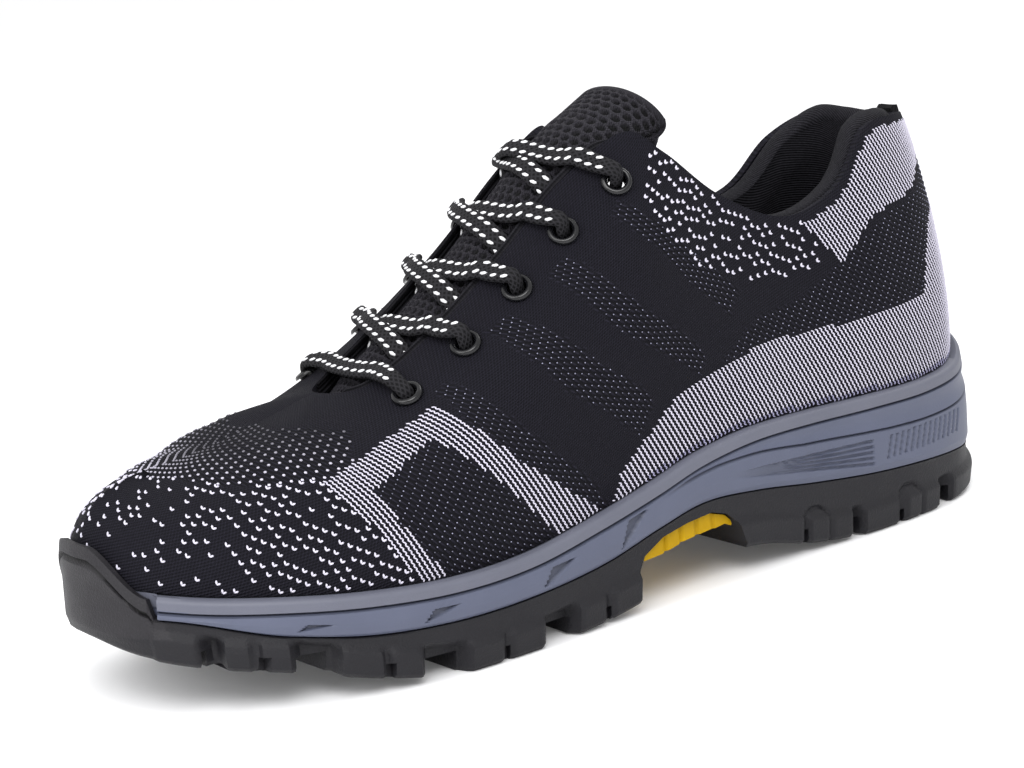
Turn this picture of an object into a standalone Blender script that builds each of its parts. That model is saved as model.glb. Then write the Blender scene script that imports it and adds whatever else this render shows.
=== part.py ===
"""Safety sneaker: a left shoe with a knitted upper on a two-part sole.

Metres. +X runs to the toe, +Y to the outer (little toe) side and +Z up. The origin lies on the floor
under the middle of the shoe. Every piece is worked out from one last: a table of ribs that rise from
the foot line, where the knit meets the sole, to the collar, the throat edge or the toe ridge.
"""
from collections import namedtuple

import bmesh
import bpy
import numpy as np
from mathutils import Matrix, Vector

# Main sizes
LENGTH = 0.293
BALL_WIDTH = 0.1057
HEEL_WIDTH = 0.070
COLLAR_WIDTH = 0.058
THROAT_WIDTH = 0.0336
HEEL_HEIGHT = 0.115
INSTEP_HEIGHT = 0.126
TOE_HEIGHT = 0.070
FOOT_LINE_HEIGHT = 0.040
TOE_SPRING = 0.020
HEEL_LINE_Y = -0.0014

# Upper and what is sewn to it
UPPER_WALL = 0.0024
COLLAR_PAD = 0.0070
COLLAR_DEPTH = 0.040
COLLAR_LIFT = 0.0038
FACING_WALL = 0.0012
FACING_SHOW = 0.0040
TONGUE_WALL = 0.0042
TONGUE_DROP = 0.0085
TONGUE_CROWN = 0.0088
TONGUE_RISE = 0.0006
TONGUE_REACH = 0.0145
TAPE_WIDTH = 0.0110
TAPE_LENGTH = 0.0300
TAPE_WALL = 0.0026
INSOLE_WALL = 0.0040

# Sole
BAND_HEIGHT = 0.0053
GROOVE_DEPTH = 0.0011
RIM_OUT = 0.0020
SIDE_OUT = 0.0040
BASE_OUT = 0.0024
BUMPER_WALL = 0.0024
LUG_DEPTH = 0.0050
RIDGE_WIDTH = 0.0150
SLIT_WIDTH = 0.0022
SLIT_DEPTH = 0.0016
ARCH_HEIGHT = 0.0220
INSERT_WALL = 0.0045

# Lacing
EYELET_INSET = 0.0150
EYELET_OUTER = 0.0088
EYELET_HOLE = 0.0050
EYELET_RIM = 0.0011
LACE_WIDTH = 0.0062
LACE_WALL = 0.0024

# Clearance between neighbours, and the distance within which grid points become one
GAP = 0.0003
MERGE = 0.000002

# One row for each rib station, heel to toe. Lengths are shares: foot_x and top_x of LENGTH, foot_z of
# FOOT_LINE_HEIGHT, and the others of the sizes that ZONES gives. Angles are degrees and pulls are
# shares of the rib's own span. "out" is the outer side and "in" the inner side of the foot.
ZONES = {
    "heel": (HEEL_WIDTH / 2, COLLAR_WIDTH / 2, HEEL_HEIGHT),
    "instep": (BALL_WIDTH / 2, THROAT_WIDTH / 2, INSTEP_HEIGHT),
    "toe": (BALL_WIDTH / 2, THROAT_WIDTH / 2, TOE_HEIGHT),
}
Rib = namedtuple("Rib", "zone foot_x foot_out foot_in foot_z top_x top_out top_in top_z "
                        "foot_lean foot_pull top_turn top_drop top_pull")
LAST = [
    Rib("heel", -0.490, 0.000, 0.000, 1.180, -0.459, 0.000, 0.000, 0.991, 6, 0.30, -90, 72, 0.22),
    Rib("heel", -0.478, 0.386, -0.371, 1.110, -0.449, 0.362, -0.362, 1.000, 6, 0.30, -62, 72, 0.22),
    Rib("heel", -0.440, 0.729, -0.700, 1.020, -0.415, 0.655, -0.655, 1.009, 6, 0.30, -38, 74, 0.24),
    Rib("heel", -0.379, 0.929, -0.886, 0.995, -0.363, 0.810, -0.810, 0.996, 5, 0.32, -18, 76, 0.26),
    Rib("heel", -0.300, 1.029, -0.943, 1.008, -0.312, 0.931, -0.931, 0.870, 4, 0.33, -6, 78, 0.30),
    Rib("heel", -0.218, 1.071, -0.929, 1.025, -0.239, 1.000, -0.983, 0.826, 4, 0.33, 0, 80, 0.33),
    Rib("heel", -0.143, 1.129, -0.914, 1.025, -0.164, 1.000, -0.983, 0.913, 4, 0.34, 0, 76, 0.33),
    Rib("heel", -0.075, 1.186, -0.929, 0.965, -0.109, 0.931, -0.914, 1.039, 4, 0.35, 0, 66, 0.30),
    Rib("instep", -0.014, 0.827, -0.653, 0.860, -0.078, 1.232, -1.232, 1.000, 4, 0.36, 5, 50, 0.30),
    Rib("instep", 0.055, 0.870, -0.719, 0.755, -0.010, 1.000, -1.000, 0.911, 4, 0.38, 10, 42, 0.32),
    Rib("instep", 0.137, 0.918, -0.810, 0.658, 0.061, 0.946, -0.970, 0.777, 5, 0.40, 14, 34, 0.34),
    Rib("instep", 0.218, 0.937, -0.870, 0.643, 0.137, 0.887, -0.917, 0.651, 6, 0.42, 20, 27, 0.36),
    Rib("instep", 0.297, 0.889, -0.882, 0.683, 0.205, 0.685, -0.744, 0.563, 6, 0.42, 30, 20, 0.38),
    Rib("toe", 0.365, 0.766, -0.819, 0.740, 0.239, -0.030, -0.030, 0.993, 5, 0.40, 40, 8, 0.42),
    Rib("toe", 0.423, 0.568, -0.672, 0.793, 0.300, -0.143, -0.143, 0.919, 3, 0.36, 50, 7, 0.46),
    Rib("toe", 0.466, 0.291, -0.435, 0.848, 0.362, -0.226, -0.226, 0.861, 1, 0.36, 66, 7, 0.54),
    Rib("toe", 0.483, -0.072, -0.072, 0.873, 0.413, -0.286, -0.286, 0.836, 1, 0.36, 90, 7, 0.62),
]
TOE = len(LAST) - 1
THROAT_TOP = 8
THROAT_FRONT = 13
COLLAR_END = 6.7
EYELET_STATIONS = (11.48, 10.68, 9.92, 9.15, 8.33)

# How much lower the collar edge is on the inner side: station and share of HEEL_HEIGHT
INNER_DIP = {3: 0.041, 4: 0.030, 5: 0.010}

# The sole at the same stations: the line between midsole and outsole as a share of
# FOOT_LINE_HEIGHT, and the tread's height above the floor as a share of TOE_SPRING.
SoleRow = namedtuple("SoleRow", "seam tread")
SOLE = [
    SoleRow(0.330, 0.16), SoleRow(0.338, 0.09), SoleRow(0.365, 0.02), SoleRow(0.398, 0.00),
    SoleRow(0.438, 0.00), SoleRow(0.503, 0.11), SoleRow(0.583, 0.36), SoleRow(0.618, 0.42),
    SoleRow(0.543, 0.22), SoleRow(0.430, 0.06), SoleRow(0.372, 0.00), SoleRow(0.365, 0.00),
    SoleRow(0.405, 0.22), SoleRow(0.495, 0.49), SoleRow(0.590, 0.66), SoleRow(0.635, 0.84),
    SoleRow(0.650, 1.00),
]

# The toe bumper, in stations, and its top as shares of FOOT_LINE_HEIGHT
MIDSOLE_END = (14.60, 14.66)
BUMPER_START = (14.69, 14.76)
BUMPER_FULL = 15.70
BUMPER_LOW = 0.800
BUMPER_HIGH = 1.120

# Gaps across the tread, as shares of LENGTH from front to back, with their lean in degrees
Tread = namedtuple("Tread", "front back lean")
TREAD_GAPS = [
    Tread(0.4250, 0.4190, 6), Tread(0.3610, 0.3330, 5), Tread(0.2530, 0.2190, 3),
    Tread(0.1270, 0.0970, 0), Tread(-0.2660, -0.2710, -2), Tread(-0.3910, -0.4040, -4),
]
TREAD_SLITS = (0.3920, 0.2900, 0.1750, 0.0560, -0.2000, -0.3300)

# The hollow under the arch, front to back: place as a share of LENGTH, roof of ARCH_HEIGHT
ArchRow = namedtuple("ArchRow", "place roof")
ARCH = [
    ArchRow(0.0160, 0.10), ArchRow(0.0145, 0.52), ArchRow(0.0060, 0.70), ArchRow(-0.0190, 0.86),
    ArchRow(-0.0500, 0.93), ArchRow(-0.0820, 0.96), ArchRow(-0.1010, 0.88), ArchRow(-0.1120, 0.74),
    ArchRow(-0.1220, 0.42), ArchRow(-0.1230, 0.10),
]
INSERT_ENDS = (0.0040, -0.1080)

COLOURS = {
    "knit": (0.012, 0.012, 0.016, 0.85, 0.0),
    "padding": (0.010, 0.010, 0.013, 0.90, 0.0),
    "spacer_mesh": (0.014, 0.014, 0.017, 0.80, 0.0),
    "foam": (0.205, 0.225, 0.285, 0.55, 0.0),
    "rubber": (0.030, 0.030, 0.036, 0.60, 0.0),
    "yellow_insert": (0.745, 0.450, 0.006, 0.40, 0.0),
    "lace": (0.016, 0.016, 0.018, 0.75, 0.0),
    "eyelet": (0.050, 0.050, 0.055, 0.30, 0.9),
    "insole": (0.030, 0.030, 0.034, 0.90, 0.0),
}


# Scene helpers
def clear_scene():
    for item in list(bpy.data.objects):
        bpy.data.objects.remove(item, do_unlink=True)


def new_collection(name):
    group = bpy.data.collections.new(name)
    bpy.context.scene.collection.children.link(group)
    return group


def make_materials():
    finished = {}
    for name, (red, green, blue, roughness, metallic) in COLOURS.items():
        material = bpy.data.materials.new(name)
        material.use_nodes = True
        shader = material.node_tree.nodes["Principled BSDF"]
        shader.inputs["Base Color"].default_value = (red, green, blue, 1.0)
        shader.inputs["Roughness"].default_value = roughness
        shader.inputs["Metallic"].default_value = metallic
        finished[name] = material
    return finished


def mesh_object(name, bm, finish, group=None):
    mesh = bpy.data.meshes.new(name)
    bm.to_mesh(mesh)
    bm.free()
    mesh.shade_smooth()
    mesh.set_sharp_from_angle(angle=np.radians(40))
    item = bpy.data.objects.new(name, mesh)
    (group or PARTS).objects.link(item)
    if finish:
        mesh.materials.append(MATERIALS[finish])
    return item


def grid_mesh(points):
    """A bmesh grid whose vertices are moved to points[row, column]; doubles become one."""
    rows, columns = points.shape[:2]
    bm = bmesh.new()
    bmesh.ops.create_grid(bm, x_segments=columns - 1, y_segments=rows - 1, size=0.5)
    for vert in bm.verts:
        column = round((vert.co.x + 0.5) * (columns - 1))
        row = round((vert.co.y + 0.5) * (rows - 1))
        vert.co = points[row, column]
    bmesh.ops.remove_doubles(bm, verts=bm.verts, dist=MERGE)
    return bm


def ring_solid(name, rings, finish, group=None):
    """A closed solid through a row of closed rings; open ends are filled flat."""
    closed = np.concatenate([rings, rings[:, :1]], axis=1)
    bm = grid_mesh(closed)
    edges = [edge for edge in bm.edges if edge.is_boundary]
    if edges:
        bmesh.ops.holes_fill(bm, edges=edges, sides=0)
    bmesh.ops.recalc_face_normals(bm, faces=bm.faces)
    return mesh_object(name, bm, finish, group)


def slab(name, outer, inner, finish, group=None):
    """A closed solid between two grids of points of one size."""
    return ring_solid(name, np.concatenate([outer, inner[:, ::-1]], axis=1), finish, group)


def cut(target, cutter, operation="DIFFERENCE"):
    modifier = target.modifiers.new("cut by " + cutter.name, "BOOLEAN")
    modifier.operation = operation
    modifier.solver = "EXACT"
    modifier.object = cutter
    cutter.hide_render = True
    cutter.display_type = "WIRE"


# The last: its curves run round the shoe, out along the outer side and back along the inner side
def round_loop(outer, inner):
    return np.array(list(outer) + list(inner)[TOE - 1:0:-1], float)


def spline(knots, row):
    """A closed Catmull-Rom curve through the knots, read at station numbers."""
    row = np.asarray(row, float)
    base = np.floor(row).astype(int)
    part = (row - base)[..., None]
    before, start, end, after = [knots[(base + step) % len(knots)] for step in (-1, 0, 1, 2)]
    bend = 2 * before - 5 * start + 4 * end - after
    return start + 0.5 * part * (end - before + part * (bend + part * (3 * (start - end) + after - before)))


def foot_knots(side):
    knots = []
    for rib in LAST:
        half = ZONES[rib.zone][0]
        share = rib.foot_out if side > 0 else rib.foot_in
        knots.append((rib.foot_x * LENGTH, share * half + HEEL_LINE_Y, rib.foot_z * FOOT_LINE_HEIGHT))
    return knots


def top_knots(side):
    knots = []
    for station, rib in enumerate(LAST):
        half, rise = ZONES[rib.zone][1:]
        share = rib.top_out if side > 0 else rib.top_in
        height = rib.top_z - (0 if side > 0 else INNER_DIP.get(station, 0))
        knots.append((rib.top_x * LENGTH, share * half + HEEL_LINE_Y, height * rise))
    return knots


FOOT = round_loop(foot_knots(1), foot_knots(-1))
TOP = round_loop(top_knots(1), top_knots(-1))
EDGE = np.array(top_knots(1)[:THROAT_FRONT + 1] + top_knots(-1)[THROAT_FRONT - 1:0:-1])
SHAPE = round_loop([rib[9:] for rib in LAST], [rib[9:] for rib in LAST])
SOLE_LINES = round_loop(SOLE, SOLE)


def along(row, side):
    row = np.asarray(row, float)
    return row if side > 0 else (2 * TOE - row) % (2 * TOE)


def foot_point(row, side):
    return spline(FOOT, along(row, side))


def foot_normal(row, side):
    """Level and square to the foot line, pointing away from the shoe."""
    step = 0.001
    here = along(row, side)
    ahead = spline(FOOT, here + step) - spline(FOOT, here - step)
    normal = np.stack([-ahead[..., 1], ahead[..., 0], 0 * ahead[..., 0]], axis=-1)
    return normal / np.linalg.norm(normal, axis=-1, keepdims=True)


def top_point(row, side):
    """On the collar and throat edge, which is one closed loop, or on the toe ridge ahead of it."""
    row = np.asarray(row, float)
    loop = row if side > 0 else (2 * THROAT_FRONT - row) % (2 * THROAT_FRONT)
    edge = spline(EDGE, np.where(row < THROAT_FRONT, loop, 0))
    ridge = (spline(TOP, along(row, 1)) + spline(TOP, along(row, -1))) / 2
    return np.where((row < THROAT_FRONT)[..., None], edge, ridge)


def rib_drop(row, side):
    """The direction in which the knit leaves its top edge, going down."""
    shape = spline(SHAPE, along(row, side))
    turn, drop = np.radians(shape[..., 2]), np.radians(shape[..., 3])
    return np.stack([np.sin(turn) * np.cos(drop), side * np.cos(turn) * np.cos(drop), -np.sin(drop)], axis=-1)


def upper_point(row, rise, side):
    """The knit's outer face: rise is 0 on the foot line and 1 on the top edge."""
    foot, top = foot_point(row, side), top_point(row, side)
    shape = spline(SHAPE, along(row, side))
    span = np.linalg.norm(top - foot, axis=-1, keepdims=True)
    lean = np.radians(shape[..., 0:1])
    up = np.array([0.0, 0.0, 1.0])
    low = foot + span * shape[..., 1:2] * (foot_normal(row, side) * np.sin(lean) + up * np.cos(lean))
    high = top + span * shape[..., 4:5] * rib_drop(row, side)
    rise = np.asarray(rise, float)[..., None]
    fall = 1 - rise
    return fall ** 3 * foot + 3 * fall ** 2 * rise * low + 3 * fall * rise ** 2 * high + rise ** 3 * top


def surface_normal(surface, first, second, outward):
    """The unit normal of surface(first, second), turned to the side of outward."""
    step = 0.002
    across = surface(first + step, second) - surface(first - step, second)
    up = surface(first, second + step) - surface(first, second - step)
    normal = np.cross(across, up)
    normal /= np.linalg.norm(normal, axis=-1, keepdims=True) + 1e-12
    turned = np.sum(normal * outward, axis=-1, keepdims=True) < 0
    return np.where(turned, -normal, normal)


def upper_normal(row, rise, side):
    row, rise = np.broadcast_arrays(np.asarray(row, float), np.asarray(rise, float))
    outward = foot_normal(row, side) + np.array([0.0, 0.0, 0.5])
    inner = np.clip(rise, 0.002, 0.998)
    return surface_normal(lambda a, b: upper_point(a, b, side), row, inner, outward)


def rise_below_top(row, side, distance):
    """The rise at which the knit is that distance down from its top edge."""
    span = np.linalg.norm(top_point(row, side) - foot_point(row, side), axis=-1)
    return 1 - distance / (span * 1.08)


def bridge(row, across):
    """The instep surface: across is 1 and -1 on the throat edges and runs on down under them."""
    row, across = np.broadcast_arrays(np.asarray(row, float), np.asarray(across, float))
    inside = np.maximum(row, THROAT_TOP)
    outer, inner = top_point(inside, 1), top_point(inside, -1)
    width = np.linalg.norm(outer - inner, axis=-1, keepdims=True)
    low = inner - 0.10 * width * rib_drop(inside, -1)
    high = outer - 0.10 * width * rib_drop(inside, 1)
    share = ((np.clip(across, -1, 1) + 1) / 2)[..., None]
    rest = 1 - share
    arch = rest ** 3 * inner + 3 * rest ** 2 * share * low + 3 * rest * share ** 2 * high + share ** 3 * outer
    past = (np.abs(across) - 1) * BALL_WIDTH / 5
    points = arch
    for side in (1, -1):
        apron = upper_point(inside, rise_below_top(inside, side, np.maximum(past, 0)), side)
        points = np.where((side * across > 1)[..., None], apron, points)
    beyond = np.maximum(THROAT_TOP - row, 0)[..., None]
    crown = (1 - 0.25 * across ** 2)[..., None]
    spread = (points[..., 1:2] - HEEL_LINE_Y) * 0.24
    lift = np.array([-TONGUE_REACH, 0, 0]) + np.array([0, 1, 0]) * spread
    return points + beyond * (lift + crown * np.array([0, 0, TONGUE_REACH * 0.46]))


def lifted(row, across, height):
    """A point that far above the instep surface."""
    row, across = np.broadcast_arrays(np.asarray(row, float), np.asarray(across, float))
    outward = np.stack([0 * row + 0.2, across * 0.5, 0 * row + 1.0], axis=-1)
    normal = surface_normal(bridge, row, across, outward)
    return bridge(row, across) + normal * np.asarray(height)[..., None]


def across_at(distance):
    """The across value of a point that far down from the throat edge."""
    return 1 + distance / (BALL_WIDTH / 5)


# Upper, a hollow wall open at the collar, the throat and underneath
def upper_grid(rows_per_side, heights):
    rows = np.linspace(0, TOE, rows_per_side)
    even = np.linspace(0, 1, heights)
    rise = even + 0.30 * even * (1 - even)
    outer = upper_point(rows[:, None], rise[None, :], 1)
    inner = upper_point(rows[-2::-1, None], rise[None, :], -1)
    return np.concatenate([outer, inner])


def make_upper():
    bm = grid_mesh(upper_grid(rows_per_side=31, heights=9))
    bmesh.ops.recalc_face_normals(bm, faces=bm.faces)
    side_face = max(bm.faces, key=lambda face: face.calc_center_median().y)
    if side_face.normal.y < 0:
        bmesh.ops.reverse_faces(bm, faces=bm.faces)
    upper = mesh_object("upper", bm, "knit")
    wall = upper.modifiers.new("wall", "SOLIDIFY")
    wall.thickness = UPPER_WALL
    wall.offset = -1
    wall.use_even_offset = True
    cut(upper, eyelet_hole_cutter())


# Eyelets: turned rings that stand through the knit along the throat
def eyelet_places():
    places = []
    for side, word in ((1, "outer"), (-1, "inner")):
        for number, row in enumerate(EYELET_STATIONS, start=1):
            rise = rise_below_top(row, side, EYELET_INSET)
            point = upper_point(row, rise, side)
            normal = upper_normal(row, rise, side)
            places.append((f"eyelet_{word}_{number}", Vector(point), Vector(normal)))
    return places


def eyelet_hole_cutter():
    bm = bmesh.new()
    for name, point, normal in eyelet_places():
        turn = normal.to_track_quat("Z", "Y").to_matrix().to_4x4()
        bmesh.ops.create_cone(bm, cap_ends=True, segments=12, radius1=EYELET_HOLE / 2 + 0.0011,
                              radius2=EYELET_HOLE / 2 + 0.0011, depth=6 * UPPER_WALL,
                              matrix=Matrix.Translation(point) @ turn)
    return mesh_object("eyelet_hole_cutter", bm, None, CUTTERS)


def make_eyelets():
    bore = EYELET_HOLE / 2
    barrel = bore + 0.0007
    flange = EYELET_OUTER / 2
    base = GAP + 0.0003
    foot = -UPPER_WALL - GAP
    profile = [
        (bore, foot), (bore, base + EYELET_RIM * 0.6), (bore + 0.0006, base + EYELET_RIM),
        (flange - 0.0005, base + EYELET_RIM * 0.85), (flange, base), (barrel, base), (barrel, foot),
    ]
    for name, point, normal in eyelet_places():
        bm = bmesh.new()
        ring = [bm.verts.new((radius, 0, height)) for radius, height in profile]
        edges = [bm.edges.new((ring[i], ring[(i + 1) % len(ring)])) for i in range(len(ring))]
        bmesh.ops.spin(bm, geom=ring + edges, cent=(0, 0, 0), axis=(0, 0, 1), angle=2 * np.pi,
                       steps=12, use_merge=True)
        bmesh.ops.remove_doubles(bm, verts=bm.verts, dist=MERGE)
        bmesh.ops.recalc_face_normals(bm, faces=bm.faces)
        eyelet = mesh_object(name, bm, "eyelet")
        eyelet.location = point
        eyelet.rotation_mode = "QUATERNION"
        eyelet.rotation_quaternion = normal.to_track_quat("Z", "Y")


# Collar padding: a stuffed roll that lines the collar and stands just above the knit
def make_collar_padding():
    half = 18
    turns = np.concatenate([np.linspace(COLLAR_END, 0, half), np.linspace(0, COLLAR_END, half)[1:]])
    sides = [1] * half + [-1] * (half - 1)
    depths = np.array([0.0, 0.30, 0.66, 1.0]) * COLLAR_DEPTH
    swell = np.array([0.95, 1.0, 0.72, 0.35]) * COLLAR_PAD
    roll = [(0.08, 0.60), (0.38, 1.00), (0.74, 0.72)]
    rings = []
    for row, side in zip(turns, sides):
        taper = np.clip((COLLAR_END - row) / 0.9, 0.25, 1)
        rise = rise_below_top(row, side, depths)
        face = upper_point(np.full(4, row), rise, side)
        inward = -upper_normal(np.full(4, row), rise, side)
        outer = face + inward * (UPPER_WALL + 3 * GAP)
        inner = outer + inward * (swell * taper)[:, None]
        upward = -rib_drop(row, side) * COLLAR_LIFT * taper * (1 - 0.65 * ease(row, 2.2, 3.6))
        crest = [outer[0] + inward[0] * COLLAR_PAD * share * taper + upward * lift for share, lift in roll]
        rings.append(np.concatenate([outer[::-1], crest, inner]))
    ring_solid("collar_padding", np.array(rings), "padding")


# Facing strips under both throat edges, and the tongue under them
def make_facings():
    rows = np.linspace(THROAT_TOP - 0.05, THROAT_FRONT - 0.65, 13)[:, None]
    shown = 1 - FACING_SHOW / (THROAT_WIDTH / 2)
    hidden = across_at(EYELET_INSET - EYELET_OUTER * 0.55)
    edge = np.linspace(shown, hidden, 4)[None, :]
    for side, word in ((1, "outer"), (-1, "inner")):
        top = UPPER_WALL + 2 * GAP
        outer = lifted(rows, side * edge, -top + 0 * rows)
        inner = lifted(rows, side * edge, -top - FACING_WALL + 0 * rows)
        slab(f"throat_facing_{word}", outer, inner, "knit")


def tongue_depth(row, across):
    """How far the tongue's face lies under the instep surface."""
    sewn = UPPER_WALL + FACING_WALL + 4 * GAP
    front = np.clip((row - 11.9) / 0.7, 0, 1)
    crown = TONGUE_CROWN + TONGUE_RISE * np.clip(12 - row, 0, 4)
    hang = TONGUE_DROP - crown * np.clip(1 - across ** 2, 0, 1)
    return hang * (1 - front) + sewn * front


def make_tongue():
    rows = np.linspace(THROAT_TOP - 0.86, THROAT_FRONT - 0.3, 17)[:, None]
    across = np.linspace(-1.36, 1.36, 11)[None, :]
    depth = tongue_depth(rows, across)
    edge = 1 - 0.55 * np.abs(across / 1.36) ** 6
    outer = lifted(rows, across, -depth)
    inner = lifted(rows, across, -depth - TONGUE_WALL * edge)
    slab("tongue", outer, inner, "spacer_mesh")


# Pull tape over the heel seam
def make_heel_tape():
    share = TAPE_WIDTH / (COLLAR_WIDTH * 0.64)
    turns = np.linspace(share, -share, 5)
    drops = np.linspace(-0.0012, TAPE_LENGTH, 7)
    outer, inner = [], []
    for drop in drops:
        wall = TAPE_WALL * (1 - 0.75 * max(drop, 0) / TAPE_LENGTH)
        low_row, high_row = [], []
        for turn in turns:
            side = 1 if turn >= 0 else -1
            rise = rise_below_top(abs(turn), side, max(drop, 0))
            face = upper_point(abs(turn), rise, side)
            normal = upper_normal(abs(turn), rise, side)
            face = face - rib_drop(abs(turn), side) * max(-drop, 0)
            low_row.append(face + normal * GAP)
            high_row.append(face + normal * (GAP + wall))
        inner.append(low_row)
        outer.append(high_row)
    slab("heel_tape", np.array(outer), np.array(inner), "padding")


# Sole
def sole_heights(row):
    """Seam and tread heights above the floor."""
    lines = spline(SOLE_LINES, row)
    return lines[..., 0] * FOOT_LINE_HEIGHT, np.maximum(lines[..., 1] * TOE_SPRING, 0)


def ease(value, start, end):
    share = np.clip((value - start) / (end - start), 0, 1)
    return share * share * (3 - 2 * share)


def bumper_top(row):
    share = ease(row, BUMPER_START[0], BUMPER_FULL)
    return FOOT_LINE_HEIGHT * (BUMPER_LOW + (BUMPER_HIGH - BUMPER_LOW) * share)


def side_point(row, side, out, height):
    """A point beside the foot line, that far out and at that height."""
    point = foot_point(row, side) + foot_normal(row, side) * out
    point[2] = height
    return point


def sole_ring(row, side_profile, dip):
    """One section of a sole piece: up the outer side, across, and down the inner side."""
    outer = [side_point(row, 1, out, height) for out, height in side_profile]
    inner = [side_point(row, -1, out, height) for out, height in side_profile]
    shares = (0.25, 0.50, 0.75)
    down = np.array([0, 0, dip])
    over = [outer[-1] * (1 - share) + inner[-1] * share - down for share in shares]
    under = [inner[0] * (1 - share) + outer[0] * share for share in shares]
    return outer + over + inner[::-1] + under


def sole_stations():
    even = np.linspace(0, TOE, 37)
    steps = np.array([*MIDSOLE_END, *BUMPER_START])
    clear = [row for row in even if np.abs(steps - row).min() > 0.06]
    return np.sort(np.concatenate([clear, steps]))


def make_midsole():
    rings = []
    for row in sole_stations():
        seam = sole_heights(row)[0]
        rim = foot_point(row, 1)[2] - GAP
        groove = rim - BAND_HEIGHT
        body = groove - seam
        shown = 1 - ease(row, *MIDSOLE_END)
        profile = [
            (SIDE_OUT - 0.0010, seam), (SIDE_OUT - 0.0003, seam + 0.10 * body),
            (SIDE_OUT, seam + 0.45 * body), (SIDE_OUT - 0.0003, groove - 0.0008),
            (SIDE_OUT - 0.0004 - GROOVE_DEPTH, groove), (SIDE_OUT - 0.0006, groove + 0.0008),
            (SIDE_OUT - 0.0008, rim - 0.0012), (RIM_OUT, rim),
        ]
        profile = [(-0.0010, seam)] + [(out * shown, height) for out, height in profile]
        rings.append(sole_ring(row, profile, dip=0))
    ring_solid("midsole", np.array(rings), "foam")


def make_insole():
    rows = np.linspace(0.25, TOE - 0.25, 23)[:, None]
    inset = -(UPPER_WALL + 0.0012)
    edge_out = foot_point(rows, 1) + foot_normal(rows, 1) * inset
    edge_in = foot_point(rows, -1) + foot_normal(rows, -1) * inset
    share = np.linspace(0, 1, 5)[None, :, None]
    low = edge_out * (1 - share) + edge_in * share
    high = low + np.array([0, 0, INSOLE_WALL])
    slab("insole", high, low, "insole")


def make_outsole():
    rings = []
    for row in sole_stations():
        seam, tread = sole_heights(row)
        bumper = ease(row, *BUMPER_START)
        top = seam - GAP
        rim = top + (bumper_top(row) - top) * bumper
        wall_in = 0.0006
        wall_out = wall_in + BUMPER_WALL
        body = top - tread
        profile = [
            (BASE_OUT - 0.0012, tread), (BASE_OUT, tread + 0.0012),
            (BASE_OUT + 0.0008, tread + 0.45 * body),
            (wall_out - 0.0003, top - 0.0004 + (rim - top) * 0.45),
            (wall_out, rim - 0.0030 * bumper - 0.0002), (wall_out - 0.0006, rim),
            (wall_in, rim - 0.0003 * bumper), (wall_in - 0.0001, top - 4 * GAP),
        ]
        rings.append(sole_ring(row, profile, dip=4 * GAP))
    outsole = ring_solid("outsole", np.array(rings), "rubber")
    cut(outsole, tread_cutter())
    cut(outsole, arch_cutter())


def tread_box(bm, front, back, left, right, roof, lean):
    """A cutter box from below the floor up to roof, between two places along the shoe."""
    floor = -0.01
    size = Matrix.Diagonal((front - back, left - right, roof - floor, 1))
    turn = Matrix.Rotation(np.radians(lean), 4, "Z")
    place = Matrix.Translation(((front + back) / 2, (left + right) / 2, (roof + floor) / 2))
    bmesh.ops.create_cube(bm, size=1, matrix=place @ turn @ size)


def station_at(place):
    """The station whose foot line lies at that share of LENGTH."""
    rows = np.linspace(0, TOE, 400)
    return np.interp(place * LENGTH, foot_point(rows, 1)[:, 0], rows)


def tread_cutter():
    """Gaps across the tread that stop short of its middle, and short slits in its sides."""
    bm = bmesh.new()
    wide = BALL_WIDTH
    for gap in TREAD_GAPS:
        tread = sole_heights(station_at((gap.front + gap.back) / 2))[1]
        tread_box(bm, gap.front * LENGTH, gap.back * LENGTH, wide, RIDGE_WIDTH / 2,
                  tread + LUG_DEPTH, gap.lean)
        tread_box(bm, gap.front * LENGTH, gap.back * LENGTH, -RIDGE_WIDTH / 2, -wide,
                  tread + LUG_DEPTH, -gap.lean)
    for place in TREAD_SLITS:
        row = station_at(place)
        tread = sole_heights(row)[1]
        for side in (1, -1):
            edge = side_point(row, side, BASE_OUT - SLIT_DEPTH, 0)[1]
            tread_box(bm, place * LENGTH + SLIT_WIDTH / 2, place * LENGTH - SLIT_WIDTH / 2,
                      edge if side < 0 else wide, -wide if side < 0 else edge, tread + LUG_DEPTH * 0.8, 0)
    return mesh_object("tread_cutter", bm, None, CUTTERS)


def arch_roof(place):
    rows = ARCH[::-1]
    roof = np.interp(place, [row.place for row in rows], [row.roof for row in rows])
    return roof * ARCH_HEIGHT


def arch_cutter():
    """A bar across the shoe under the arch, with the hollow's roof for its upper face."""
    places = np.array([row.place for row in ARCH])
    roof = np.array([row.roof for row in ARCH]) * ARCH_HEIGHT
    ends = np.array([1, -1]) * BALL_WIDTH
    high = np.array([[(place * LENGTH, end, height) for end in ends] for place, height in zip(places, roof)])
    low = high.copy()
    low[..., 2] = -0.01
    return slab("arch_cutter", high, low, None, CUTTERS)


def make_arch_insert():
    """The yellow insert that lines the roof of the hollow."""
    front, back = [station_at(place) for place in INSERT_ENDS]
    rows = np.linspace(front, back, 13)
    high, low = [], []
    for row in rows:
        place = foot_point(row, 1)[0] / LENGTH
        end_share = min(abs(row - front), abs(row - back)) / 0.35
        wall = INSERT_WALL * min(1.0, 0.35 + 0.65 * end_share)
        roof = arch_roof(place) - 2 * GAP
        edges = [side_point(row, side, BASE_OUT - 0.0010, roof) for side in (1, -1)]
        share = np.linspace(0, 1, 5)[:, None]
        line = edges[0] * (1 - share) + edges[1] * share
        high.append(line)
        low.append(line - np.array([0, 0, wall]))
    slab("arch_insert", np.array(high), np.array(low), "yellow_insert")


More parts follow.
